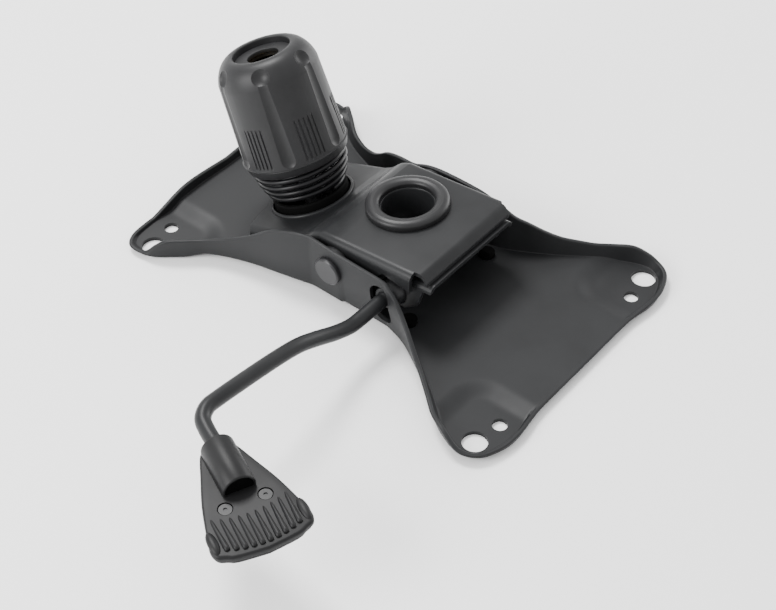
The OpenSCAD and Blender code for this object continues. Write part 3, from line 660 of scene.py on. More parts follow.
def break_edges(piece: bpy.types.Object, width: float, angle: float) -> None:
    """Rounds the sharp edges of a piece with a modifier.

    Args:
        piece: The object.
        width: Width of the rounding in millimetres.
        angle: Edges sharper than this are rounded, in degrees.
    """
    weld = piece.modifiers.new("weld", "WELD")
    weld.merge_threshold = WELD_GAP * MM
    bevel = piece.modifiers.new("edge", "BEVEL")
    bevel.width = width * MM
    bevel.segments = 2
    bevel.limit_method = "ANGLE"
    bevel.angle_limit = math.radians(angle)
    bevel.harden_normals = True


def along_y(x: float, z: float) -> Matrix:
    """Frame at a place in the XZ plane whose Z runs along +Y."""
    return Matrix.Translation((x, 0, z)) @ Matrix.Rotation(-math.pi / 2, 4, "X")


def leaning(place: Point3, angle: float) -> Matrix:
    """Frame at a place whose Z leans towards -X by an angle in degrees."""
    return Matrix.Translation(place) @ Matrix.Rotation(-math.radians(angle), 4, "Y")


@dataclass
class PressedPlate:
    """The seat plate: a tray of pressed sheet with ears, pads and two high walls."""

    sheet: float = 2.5
    lift: float = 2.5
    outer_bend: float = 3.0
    pad_x: float = 97.5
    pad_y: float = 51.5
    ramp: float = 13.0
    pad_round: float = 7.0
    waist_y: float = 46.5
    front: float = 132.5
    rear: float = 129.0
    front_ear_y: float = 87.3
    rear_ear_y: float = 90.3
    wall_top: float = 40.0
    front_rim: float = 11.0
    ear_rim: float = 4.4
    draft: float = 2.4
    draft_top: float = 22.0
    rear_rim: float = 7.4
    rows: int = 60
    bend_steps: int = 6
    neck_front: float = -22.0
    neck_rear: float = 30.0
    large_hole: Point2 = (115.2, 77.2)
    large_hole_r: float = 6.85
    small_hole: Point2 = (118.2, 60.2)
    small_hole_r: float = 4.1
    pivot_r: float = 5.1
    stem: Point2 = (-46.0, 24.0)
    stem_r: float = 2.6
    slot_high: Point2 = (27.0, 27.0)
    slot_low: Point2 = (28.6, 14.5)
    slot_r: float = 6.6

    def outline(self) -> list[Vector]:
        """Half of the plan from the front's middle to the rear's, with y above 0.

        Returns:
            Points in order.
        """
        f, r, w = self.front, self.rear, self.waist_y
        fe, re_ = self.front_ear_y, self.rear_ear_y
        n0, n1 = self.neck_front, self.neck_rear
        fx, rx = -f + 22, r - 22
        front_flare = [(0.19, 0.10), (0.45, 0.23), (0.68, 0.43), (0.84, 0.70)]
        rear_flare = [(0.19, 0.11), (0.46, 0.39), (0.66, 0.64), (0.81, 0.84)]
        front = [(-f, 0), (-f - 0.6, 26), (-f + 0.6, fe - 37), (-f + 0.8, fe - 20)]
        front += [(-f + 2.6, fe - 7), (-f + 9, fe), (fx, fe - 1.4)]
        front += [(n0 + a * (fx - n0), w + b * (fe - w)) for a, b in reversed(front_flare)]
        front += [(n0, w)]
        rear = [(n1, w)]
        rear += [(n1 + a * (rx - n1), w + b * (re_ - w)) for a, b in rear_flare]
        rear += [(rx, re_ - 0.4), (r - 12, re_), (r - 3.6, re_ - 5.5), (r + 1.6, re_ - 18)]
        rear += [(r + 2.4, re_ - 31), (r + 0.8, re_ - 43), (r, re_ - 54), (r, 0)]
        pieces = 26
        straight = [(n0 + (n1 - n0) * k / pieces, w) for k in range(1, pieces)]
        points = curve_points(front, 9) + straight + curve_points(rear, 9)
        return [Vector((x, y, 0)) for x, y in points]

    def wall_line(self, near: bool) -> list[tuple[float, ...]]:
        """The wall's top edge along X.

        Args:
            near: True for the lever's side.

        Returns:
            Pairs of x and height.
        """
        w, f, r, e = self.wall_top, self.front_rim, self.rear_rim, self.ear_rim
        start = [(-138.5, e), (-118, e), (-112.4, e + 0.8), (-107, f - 0.6), (-101.5, f + 3)]
        start += [(-92, f + 3.6)]
        if near:
            start += [(-84, f + 4.2), (-70, f + 8.8), (-59, f + 14.8), (-51, w - 8.2), (-44, w - 4.2)]
            start += [(-36, w - 1.5), (-26, w), (-7, w - 1.2), (10, w - 1.8), (26.5, w - 2.2)]
            start += [(33, w - 4), (39, w - 7.4), (45, w - 12.6)]
        else:
            start += [(-84, f + 1.2), (-73, f + 0.6), (-63, f + 3), (-56, f + 7), (-49, w - 16.5)]
            start += [(-38, w - 12.2), (-26, w - 9), (-14, w - 4), (0, w - 2), (24, w - 2.2)]
            start += [(33, w - 4.6), (39, w - 8.6), (45, w - 13.4)]
        end = [(51.5, w - 16.6), (59, r + 11.5), (67, r + 7.7), (76, r + 5.4), (83, r + 3.8), (91, r + 3.4)]
        end += [(98, r + 4.2), (103, r + 3.8), (110.2, r + 1.2), (118.2, r - 1.2), (135, r - 1.8)]
        return curve_points(start + end, 4)

    def wall_height(self, q: Vector, line: list[tuple[float, ...]]) -> float:
        """Height of the wall over one point of the outline.

        Args:
            q: The outline's point, with y above 0.
            line: The wall's top edge along X.

        Returns:
            The height, which is higher between the front ears.
        """
        top = look_up(line, q.x)
        f, e = self.front_rim, self.ear_rim
        if q.x < 12 - self.front:
            across = [(0, f - 1.4), (30, f - 0.2), (42, f - 1.2), (52, f - 3.6), (62, e), (68, e), (120, e)]
            return max(top, look_up(curve_points(across, 4), q.y))
        if q.x > self.rear - 10 and q.y < 64:
            flush = self.lift + self.sheet + 0.1
            return flush + (top - flush) * smooth_step((q.y - 44) / 16)
        return top

    def floor_height(self, x: float, y: float) -> float:
        """Height of the floor's underside in plan.

        Args:
            x: Place along X.
            y: Place along Y.

        Returns:
            The height, which is 0 on the pads.
        """
        dx = max(self.pad_x - abs(x) + self.pad_round, 0.0)
        dy = max(self.pad_y - abs(y) + self.pad_round, 0.0)
        return self.lift * smooth_step((math.hypot(dx, dy) - self.pad_round) / self.ramp)

    def section(self, q: Vector, inside: Vector, centre: Vector, top: float) -> list[Vector]:
        """One section from the middle under the floor, over the wall and back.

        Args:
            q: The outline's point.
            inside: Direction into the plate, in plan.
            centre: The point on the plate's middle line.
            top: Height of the wall here.

        Returns:
            The section's points.
        """
        t = self.sheet
        slant = self.draft * min(1.0, abs(inside.y) + 0.25) * (0.5 if q.x < 0 else 1.0)
        low = q + inside * slant
        base = self.floor_height(low.x, low.y)
        rim = 0.8
        r_out = min(self.outer_bend, top - base - rim - 0.1)
        r_in = max(min(self.outer_bend - t, top - base - t - rim), 0.05)
        foot = low + inside * (t + r_in)
        straight = max(min(self.draft_top, top - rim - 0.1), base + r_out + 0.02)
        inner = max(min(self.draft_top, top - rim), base + t + r_in + 0.02)
        out = []
        for k in range(self.rows):
            p = centre.lerp(foot, k / self.rows)
            out.append(Vector((p.x, p.y, self.floor_height(p.x, p.y))))
        for k in range(self.bend_steps + 1):
            a = math.pi / 2 * k / self.bend_steps
            p = low + inside * (r_out - r_out * math.sin(a))
            out.append(Vector((p.x, p.y, base + r_out - r_out * math.cos(a))))
        out.append(Vector((q.x, q.y, straight)))
        edge = ((0.0, rim), (0.06, 0.45), (0.28, 0.14), (rim, 0.0))
        for inset, drop in edge + tuple((t - a, b) for a, b in reversed(edge)):
            p = q + inside * inset
            least = base + t + r_in if inset > t / 2 else straight
            out.append(Vector((p.x, p.y, max(top - drop, least))))
        p = q + inside * t
        out.append(Vector((p.x, p.y, inner)))
        for k in range(self.bend_steps + 1):
            a = math.pi / 2 * (1 - k / self.bend_steps)
            p = low + inside * (t + r_in - r_in * math.sin(a))
            out.append(Vector((p.x, p.y, base + t + r_in - r_in * math.cos(a))))
        for k in range(self.rows - 1, -1, -1):
            p = centre.lerp(foot, k / self.rows)
            out.append(Vector((p.x, p.y, self.floor_height(p.x, p.y) + t)))
        return out

    def shell(self) -> bpy.types.Object:
        """The closed tray before its holes are cut.

        Returns:
            The plate's object.
        """
        half = self.outline()
        steps = [0.0]
        for a, b in zip(half, half[1:]):
            steps.append(steps[-1] + (b - a).length)
        start = half[0].x + self.outer_bend
        end = half[-1].x - self.outer_bend
        bm = bmesh.new()
        for side in (1, -1):
            line = self.wall_line(side < 0)
            rows = []
            for i, p in enumerate(half):
                ahead = half[min(i + 1, len(half) - 1)] - half[max(i - 1, 0)]
                if i in (0, len(half) - 1):
                    ahead = Vector((0, 1 if i == 0 else -1, 0))
                inside = Vector((ahead.y, -ahead.x, 0)).normalized()
                share = steps[i] / steps[-1]
                centre = Vector((start + (end - start) * share, 0, 0))
                made = self.section(p, inside, centre, self.wall_height(p, line))
                rows.append([bm.verts.new((v.x, v.y * side, v.z)) for v in made])
            for low, high in zip(rows, rows[1:]):
                for j in range(len(low) - 1):
                    bm.faces.new((low[j], low[j + 1], high[j + 1], high[j]))
        bmesh.ops.remove_doubles(bm, verts=bm.verts, dist=0.002)
        bmesh.ops.dissolve_degenerate(bm, edges=bm.edges, dist=0.001)
        return new_piece("seat_plate_pressing", bm, 40.0)

    def cutters(self) -> list[bpy.types.Object]:
        """Solids for the holes, bores and the lever's slot.

        Returns:
            The cutters.
        """
        out = []
        holes = [("large_hole", self.large_hole, self.large_hole_r)]
        holes.append(("hole", self.small_hole, self.small_hole_r))
        for sx in (-1, 1):
            for sy in (-1, 1):
                for name, (x, y), radius in holes:
                    spot = Matrix.Translation((sx * x, sy * y, 0))
                    out.append(cylinder_piece(name, spot, radius, -3, 14))
        for low, high in ((-48.5, -42.0), (42.0, 48.5)):
            out.append(cylinder_piece("bore", along_y(*PIVOT), self.pivot_r, low, high))
        for sy in (-1, 1):
            spot = Matrix.Translation((self.stem[0], sy * self.stem[1], 0))
            out.append(cylinder_piece("stem", spot, self.stem_r, -3, 9, 32))
        out.append(self.lever_slot())
        return out

    def lever_slot(self) -> bpy.types.Object:
        """Solid for the lever's slot in the near wall.

        Returns:
            The cutter.
        """
        high, low = (Vector((x, 0, z)) for x, z in (self.slot_high, self.slot_low))
        run = (low - high).normalized()
        side = Vector((-run.z, 0, run.x))
        ring = []
        for end, sign in ((low, self.slot_r), (high, -self.slot_r)):
            for k in range(25):
                a = math.pi * k / 24 - math.pi / 2
                ring.append(end + sign * (math.cos(a) * run + math.sin(a) * side))
        bm = bmesh.new()
        skin(bm, [[Vector((p.x, y, p.z)) for p in ring] for y in (-48.5, -38.5)])
        return new_piece("lever_slot", bm)

    def build(self, paints: Paints) -> None:
        """Builds, cuts and dresses the plate.

        Args:
            paints: The finishes.
        """
        plate = self.shell()
        cut(plate, self.cutters())
        soften(plate.data, 40.0)
        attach(paints.on(plate, Slot.PLATE), Body.SEAT.value)
        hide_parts("seat_plate")


@dataclass
class PressedCover:
    """The housing's outer pressing: sloped front, raised web and two side walls."""

    sheet: float = 2.5
    half_y: float = 40.3
    bend: float = 4.5
    bend_steps: int = 8
    slope: float = 5.9
    web_z: float = 42.0
    cone_x: float = 3.7
    cone_y: float = 6.0
    crease_x: float = 46.4
    lean: float = 21.0
    spring_x: float = -62.0
    spring_z: float = 17.5
    hole_r: float = 23.2
    tube_r: float = 17.1
    channel_y: float = 35.8
    pivot_r: float = 6.6

    def web_top(self, x: float) -> float:
        """Height of the web's upper side."""
        return self.web_z + math.tan(math.radians(self.slope)) * (x - self.cone_x)

    def front_top(self, x: float) -> float:
        """Height of the front face's upper side."""
        return self.spring_z + math.tan(math.radians(self.lean)) * (x - self.spring_x)

    def tops(self) -> list[tuple[float, ...]]:
        """The middle line of the pressing's upper side along X.

        Returns:
            Pairs of x and height.
        """
        bend = [(-40, self.front_top(-40)), (-33, self.front_top(-33) + 1.6)]
        bend += [(-26.5, self.web_top(-26.5) - 2.4), (-20, self.web_top(-20))]
        front = [(x, self.front_top(x)) for x in (-88, -75, -60, -48)]
        web = [(x, self.web_top(x)) for x in (-8, 8, 18, 24, 32, 40, 44.6)]
        crease = self.web_top(self.crease_x)
        lip = [(46.0, crease - 0.05), (46.9, crease - 0.32), (47.8, crease - 0.9), (50.6, crease - 4.4)]
        return front + curve_points(bend, 6) + web + lip

    def lows(self) -> list[Point2]:
        """The side walls' lower edge along X.

        Returns:
            Pairs of x and height.
        """
        drops = [(18, self.web_top(18) - 13.5), (24, self.web_top(24) - 7.5)]
        drops += [(54.4, self.web_top(self.crease_x) - 14.5)]
        return [(-88, -4), (-75, 7.6), (-30, 8.6), (-8, 12.5), (8, 16.5)] + drops

    def ring(self, x: float, top: float, low: float) -> Ring:
        """One section across the pressing.

        Args:
            x: Place along X.
            top: Height of the web's upper side.
            low: Height of the side walls' lower edge.

        Returns:
            The section's points, out along the outside and back inside.
        """
        r, t, y0 = self.bend, self.sheet, self.half_y
        low = min(low, top - r - 0.2)
        n = self.bend_steps

        def arc(cy: float, radius: float, a0: float, a1: float) -> list[Point2]:
            """Points of one bend."""
            angles = [math.radians(a0 + (a1 - a0) * k / n) for k in range(n + 1)]
            return [(cy + radius * math.cos(a), top - r + radius * math.sin(a)) for a in angles]

        out = [(y0 - 0.25, low), (y0, low + 0.3)] + arc(y0 - r, r, 0, 90)
        out += arc(r - y0, r, 90, 180) + [(-y0, low + 0.3), (0.25 - y0, low)]
        inner = [(t - y0, low)] + arc(r - y0, r - t, 180, 90) + arc(y0 - r, r - t, 90, 0) + [(y0 - t, low)]
        return [Vector((x, y, z)) for y, z in out + inner]

    def plan(self) -> list[Point2]:
        """Outline of the pressing in plan.

        Returns:
            Points in order round the pressing.
        """
        nose_r = self.hole_r + 2.6
        angles = [math.radians(a) for a in range(140, 221, 4)]
        nose = [(self.spring_x + nose_r * math.cos(a), nose_r * math.sin(a)) for a in angles]
        y = self.half_y
        far = [(60, y + 1), (-73.2, y + 1), (-77.2, y - 4), (-80.2, y - 14)]
        return far + nose + [(px, -py) for px, py in reversed(far)]

    def spring_frame(self) -> Matrix:
        """Frame on the spring's axis, Z along the bolt."""
        return leaning((self.spring_x, 0, self.spring_z), self.lean)

    def cone_frame(self) -> Matrix:
        """Frame on the gas lift's axis, Z square to the web."""
        return leaning((self.cone_x, self.cone_y, self.web_z), self.slope)

    def rolled_rim(self, paints: Paints) -> None:
        """Builds and dresses the rolled edge round the spring's hole.

        Args:
            paints: The finishes.
        """
        base, r = -1.0, self.hole_r
        profile = [(r + 2.0, base), (r + 1.9, 0.2), (r + 1.6, 0.8), (r + 1.1, 1.15)]
        profile += [(r + 0.6, 1.3), (r + 0.2, 1.2), (r, 0.9), (r, base)]
        bm = bmesh.new()
        skin(bm, turned(profile, 96), closed=True)
        bm.transform(self.spring_frame())
        rim = new_piece("spring_hole_rim", bm, 60.0)
        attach(paints.on(rim, Slot.HOUSING), Body.HOUSING.value)

    def build(self, paints: Paints) -> None:
        """Builds, cuts and dresses the pressing.

        Args:
            paints: The finishes.
        """
        lows = self.lows()
        bm = bmesh.new()
        skin(bm, [self.ring(x, z, look_up(lows, x)) for x, z in self.tops()])
        cover = new_piece("housing_cover_pressing", bm)
        cut(cover, [prism_piece("plan", self.plan(), -60, 90)], "INTERSECT")
        tools = [
            cylinder_piece("spring_hole", self.spring_frame(), self.hole_r, -14, 24, 96),
            cylinder_piece("cone_hole", self.cone_frame(), self.tube_r, -14, 14, 96),
        ]
        edge, end = self.crease_x - 4, 70
        near, far = self.channel_y + 0.1, self.half_y + 1
        for low, high in ((-far, -near), (near, far)):
            tools.append(cylinder_piece("pivot_hole", along_y(*PIVOT), self.pivot_r, low, high))
            relief = [(edge, low + 0.1), (end, low + 0.1), (end, high), (edge, high)]
            tools.append(prism_piece("relief", relief, -10, 90))
        cut(cover, tools)
        soften(cover.data, 35.0)
        break_edges(cover, 0.35, 50.0)
        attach(paints.on(cover, Slot.HOUSING), Body.HOUSING.value)
        self.rolled_rim(paints)
        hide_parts("housing_cover")


@dataclass
class CoilSpring:
    """The painted tension spring, wound fine on the cup's axis."""

    wire: float = 3.2
    pitch: float = 4.4
    turns: float = 11.75
    base: float = 7.3
    steps: int = 44
    sides: int = 14
    widths: tuple[Point2, ...] = ((0, 41), (4.4, 45.5), (8.8, 49), (13.2, 51.6), (17.6, 52.6), (51.7, 47))

    def build(self, paints: Paints, place: Matrix) -> None:
        """Builds and dresses the spring.

        Args:
            paints: The finishes.
            place: Frame on the spring's axis.
        """
        path = []
        for i in range(int(self.turns * self.steps) + 1):
            rise = self.pitch * i / self.steps
            angle = 2 * math.pi * i / self.steps
            path.append(place @ around(look_up(self.widths, rise) / 2, angle, self.base + rise))
        bm = bmesh.new()
        skin(bm, tube_rings(path, self.wire / 2, self.sides))
        spring = new_piece("tension_spring_wound", bm, 60.0)
        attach(paints.on(spring, Slot.SPRING), Body.HOUSING.value)
        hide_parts("tension_spring")
        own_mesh(spring)


@dataclass
class GripKnob:
    """The tension knob: skirt, fluted and grooved grip, round shoulder, sunk cap."""

    low: float = 27.6
    height: float = 65.5
    skirt_r: float = 31.0
    shoulder_r: float = 28.7
    shoulder_drop: float = 12.5
    shoulder_edge: float = 20.0
    top_r: float = 18.0
    recess_r: float = 16.5
    recess: float = 6.0
    nut_bore: float = 10.6
    skirt: float = 5.0
    flutes: int = 6
    flute_r: float = 6.5
    flute_deep: float = 1.5
    flute_top_deep: float = 0.6
    flute_foot: float = 0.8
    flute_over: float = 4.0
    flute_least: float = 1.2
    dish_r: float = 7.7
    dish_lean: float = 50.0
    dish_out: float = 5.5
    dish_rise: float = 5.5
    grooves: int = 5
    groove_step: float = 2.7
    groove_deep: float = 0.7
    groove_half: float = 0.65
    groove_len: float = 25.0
    first: float = 11.0

    def profile(self) -> list[Point2]:
        """Outside of the knob from the skirt's foot to the recess.

        Returns:
            Pairs of radius and height.
        """
        top = self.low + self.height
        shoulder = top - self.shoulder_drop
        band = self.low + self.skirt
        wide = self.skirt_r
        points = [(wide - 1.9, self.low), (wide - 1.55, self.low + 0.1), (wide - 1.4, self.low + 0.45)]
        points += [(wide - 0.75, band - 2.3), (wide - 0.25, band - 0.5), (wide - 0.05, band - 0.35)]
        points += [(wide, band - 0.15), (wide - 0.1, band), (wide - 0.55, band + 0.2)]
        points += [(wide - 0.6, band + 0.5)]
        grip = shoulder - band - 0.5
        foot = 7.0
        rises = [foot * k / 14 for k in range(1, 15)]
        rises += [foot + (grip - foot) * k / 26 for k in range(1, 26)]
        for rise in rises:
            points.append((wide - 0.6 + (self.shoulder_r - wide + 0.6) * rise / grip, band + 0.5 + rise))
        edge = math.radians(self.shoulder_edge)
        low = math.sin(edge)
        for k in range(29):
            a = edge + (math.pi / 2 - edge) * k / 28
            r = self.top_r + (self.shoulder_r - self.top_r) * math.cos(a) / math.cos(edge)
            points.append((r, shoulder + self.shoulder_drop * (math.sin(a) - low) / (1 - low)))
        sunk = self.recess_r
        points += [(self.top_r - 0.6, top - 0.02), (sunk + 0.4, top - 0.12), (sunk + 0.1, top - 0.5)]
        points += [(sunk, top - 1.2), (sunk, top - self.recess), (self.nut_bore, top - self.recess)]
        return points

    def flute(self, z: float) -> tuple[float, float, float]:
        """Depth of a flute's floor, its half width and how far it is short of its round foot.

        Args:
            z: Height on the knob's axis.

        Returns:
            Depth, half width and shortfall, in millimetres.
        """
        foot = self.low + self.skirt + self.flute_foot
        share = (z - foot) / (self.low + self.height - self.shoulder_drop - foot)
        deep = self.flute_deep + (self.flute_top_deep - self.flute_deep) * min(1.0, max(0.0, share))
        half = math.sqrt(self.flute_r**2 - (self.flute_r - deep) ** 2)
        short = max(0.0, foot + half - z)
        return deep, math.sqrt(max(0.0, half**2 - short**2)), short

    def fluted(self, r: float, z: float, across: float) -> Point2:
        """A point of the skin inside a flute.

        Args:
            r: Radius of the plain profile.
            z: Height on the knob's axis.
            across: Place across the flute, from -1 at one edge to 1 at the other.

        Returns:
            Radius and angle from the flute's middle.
        """
        deep, half, short = self.flute(z)
        wide = across * half
        sag = math.sqrt(self.flute_r**2 - wide**2 - short**2) - (self.flute_r - deep) if half > 0 else 0.0
        end = self.low + self.height - self.shoulder_drop + self.flute_over
        sunk = max(0.0, sag) if z < end else 0.0
        spread = max(half, self.flute_least)
        return r - sunk, across * spread / r

    def grooved(self, r: float, z: float, around: float) -> float:
        """Radius of the skin between two flutes, where the grooves are.

        Args:
            r: Radius of the plain profile.
            z: Height on the knob's axis.
            around: Angle from the middle between the flutes, in radians.

        Returns:
            The radius in millimetres.
        """
        start = self.low + self.skirt + 1.2
        if not start < z < start + self.groove_len:
            return r
        depth = 0.0
        fade = smooth_step((z - start) / 1.2) * smooth_step((start + self.groove_len - z) / 2.0)
        for g in range(self.grooves):
            away = abs(around * r - (g - (self.grooves - 1) / 2) * self.groove_step)
            if away < self.groove_half:
                depth = max(depth, self.groove_deep * fade * smooth_step((self.groove_half - away) / 0.3))
        return r - depth

    def columns(self) -> tuple[list[float], list[float]]:
        """Places across a flute and angles between two flutes where the skin has its edges.

        Returns:
            Shares of a flute's half width, and angles in radians.
        """
        across = [k / 8 for k in range(-8, 9)]
        pitch = 2 * math.pi / self.flutes
        between = [0.17 - pitch / 2, 0.23 - pitch / 2, pitch / 2 - 0.23, pitch / 2 - 0.17]
        half = (0.1, 0.3, 0.45, 0.6, 0.8)
        for g in range(self.grooves):
            middle = (g - (self.grooves - 1) / 2) * self.groove_step
            between += [(middle + sign * d) / self.skirt_r for d in half for sign in (-1, 1)]
        return across, sorted(between)

    def dishes(self, place: Matrix) -> list[bpy.types.Object]:
        """Balls that cut the round dishes at the flutes' heads.

        Args:
            place: Frame on the spring's axis.

        Returns:
            The cutters.
        """
        lean = math.radians(self.dish_lean)
        out = self.shoulder_r - 2 + self.dish_out * math.sin(lean)
        up = self.low + self.height - self.shoulder_drop + self.dish_rise + self.dish_out * math.cos(lean)
        balls = []
        for angle in turns(self.flutes):
            bm = bmesh.new()
            bmesh.ops.create_uvsphere(bm, u_segments=56, v_segments=36, radius=self.dish_r)
            bm.transform(place @ Matrix.Translation(around(out, angle + math.radians(self.first), up)))
            balls.append(new_piece("dish", bm))
        return balls

    def build(self, paints: Paints, place: Matrix) -> None:
        """Builds and dresses the knob's shell.

        Args:
            paints: The finishes.
            place: Frame on the spring's axis.
        """
        outside = self.profile()
        top = self.low + self.height
        inside = [(self.nut_bore, top - self.recess - 2.5), (24.0, top - 17)]
        inside += [(25.7, 66.8), (28.3, self.low + 0.1)]
        bm = bmesh.new()
        rings = []
        across, between = self.columns()
        for middle in turns(self.flutes):
            middle += math.radians(self.first)
            for share in across:
                ring = [(*self.fluted(r, z, share), z) for r, z in outside]
                ring += [(r, share * self.flute_least / self.skirt_r, z) for r, z in inside]
                rings.append([around(q, middle + a, z) for q, a, z in ring])
            middle += math.pi / self.flutes
            for turn in between:
                ring = [(self.grooved(r, z, turn), z) for r, z in outside] + inside
                rings.append([around(q, middle + turn, z) for q, z in ring])
        skin(bm, rings, closed=True)
        bm.transform(place)
        knob = new_piece("tension_knob_shell", bm)
        cut(knob, self.dishes(place))
        soften(knob.data, 16.0)
        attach(paints.on(knob, Slot.KNOB), Body.KNOB.value)
        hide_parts("knob_shell")


@dataclass
class LeverRod:
    """The bent rod of the height lever."""

    radius: float = 4.1
    sides: int = 24
    x: float = 28.3
    z: float = 24.0
    bend_y: float = 178.0
    handle_z: float = 52.0
    turn: float = 24.0
    barrel_len: float = 30.0

    def direction(self) -> Vector:
        """Direction of the handle's barrel."""
        a = math.radians(self.turn)
        return Vector((math.cos(a), -math.sin(a), 0))

    def barrel_start(self) -> Vector:
        """Where the handle's barrel starts."""
        return Vector((self.x + 19.4, -self.bend_y - 11, self.handle_z))

    def path(self) -> list[Vector]:
        """The rod's middle line.

        Returns:
            Points in order.
        """
        x, z, by, hz = self.x, self.z, self.bend_y, self.handle_z
        start = self.barrel_start()
        points = [(4.7, 8, 12), (7.7, 2, 12), (x - 12, -9, 16), (x - 1.6, -19, z - 1.4), (x, -23.5, z)]
        points += [(x, -26, z), (x, -44, z), (x, -54, z), (x, -64, z)]
        points += [(x, -72, z + 0.8), (x, -84, z + 5.4), (x, -98, z + 12.4), (x, -110, z + 17.6)]
        points += [(x, -122, z + 20.6)]
        points += [(x, -140, z + 23.6), (x, 12 - by, hz - 1), (x + 0.6, 3 - by, hz)]
        points += [(x + 4.2, -3.6 - by, hz), (x + 10.6, -7.4 - by, hz)]
        points += [tuple(start), tuple(start + 6 * self.direction())]
        points += [tuple(start + (self.barrel_len - 3) * self.direction())]
        return [Vector(p) for p in curve_points(points, 7)]

    def build(self, paints: Paints) -> None:
        """Builds and dresses the rod.

        Args:
            paints: The finishes.
        """
        bm = bmesh.new()
        skin(bm, tube_rings(self.path(), self.radius, self.sides))
        rod = new_piece("height_lever_rod", bm, 50.0)
        break_edges(rod, 0.6, 60.0)
        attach(paints.on(rod, Slot.LEVER), Body.LEVER.value)
        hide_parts("lever_rod")


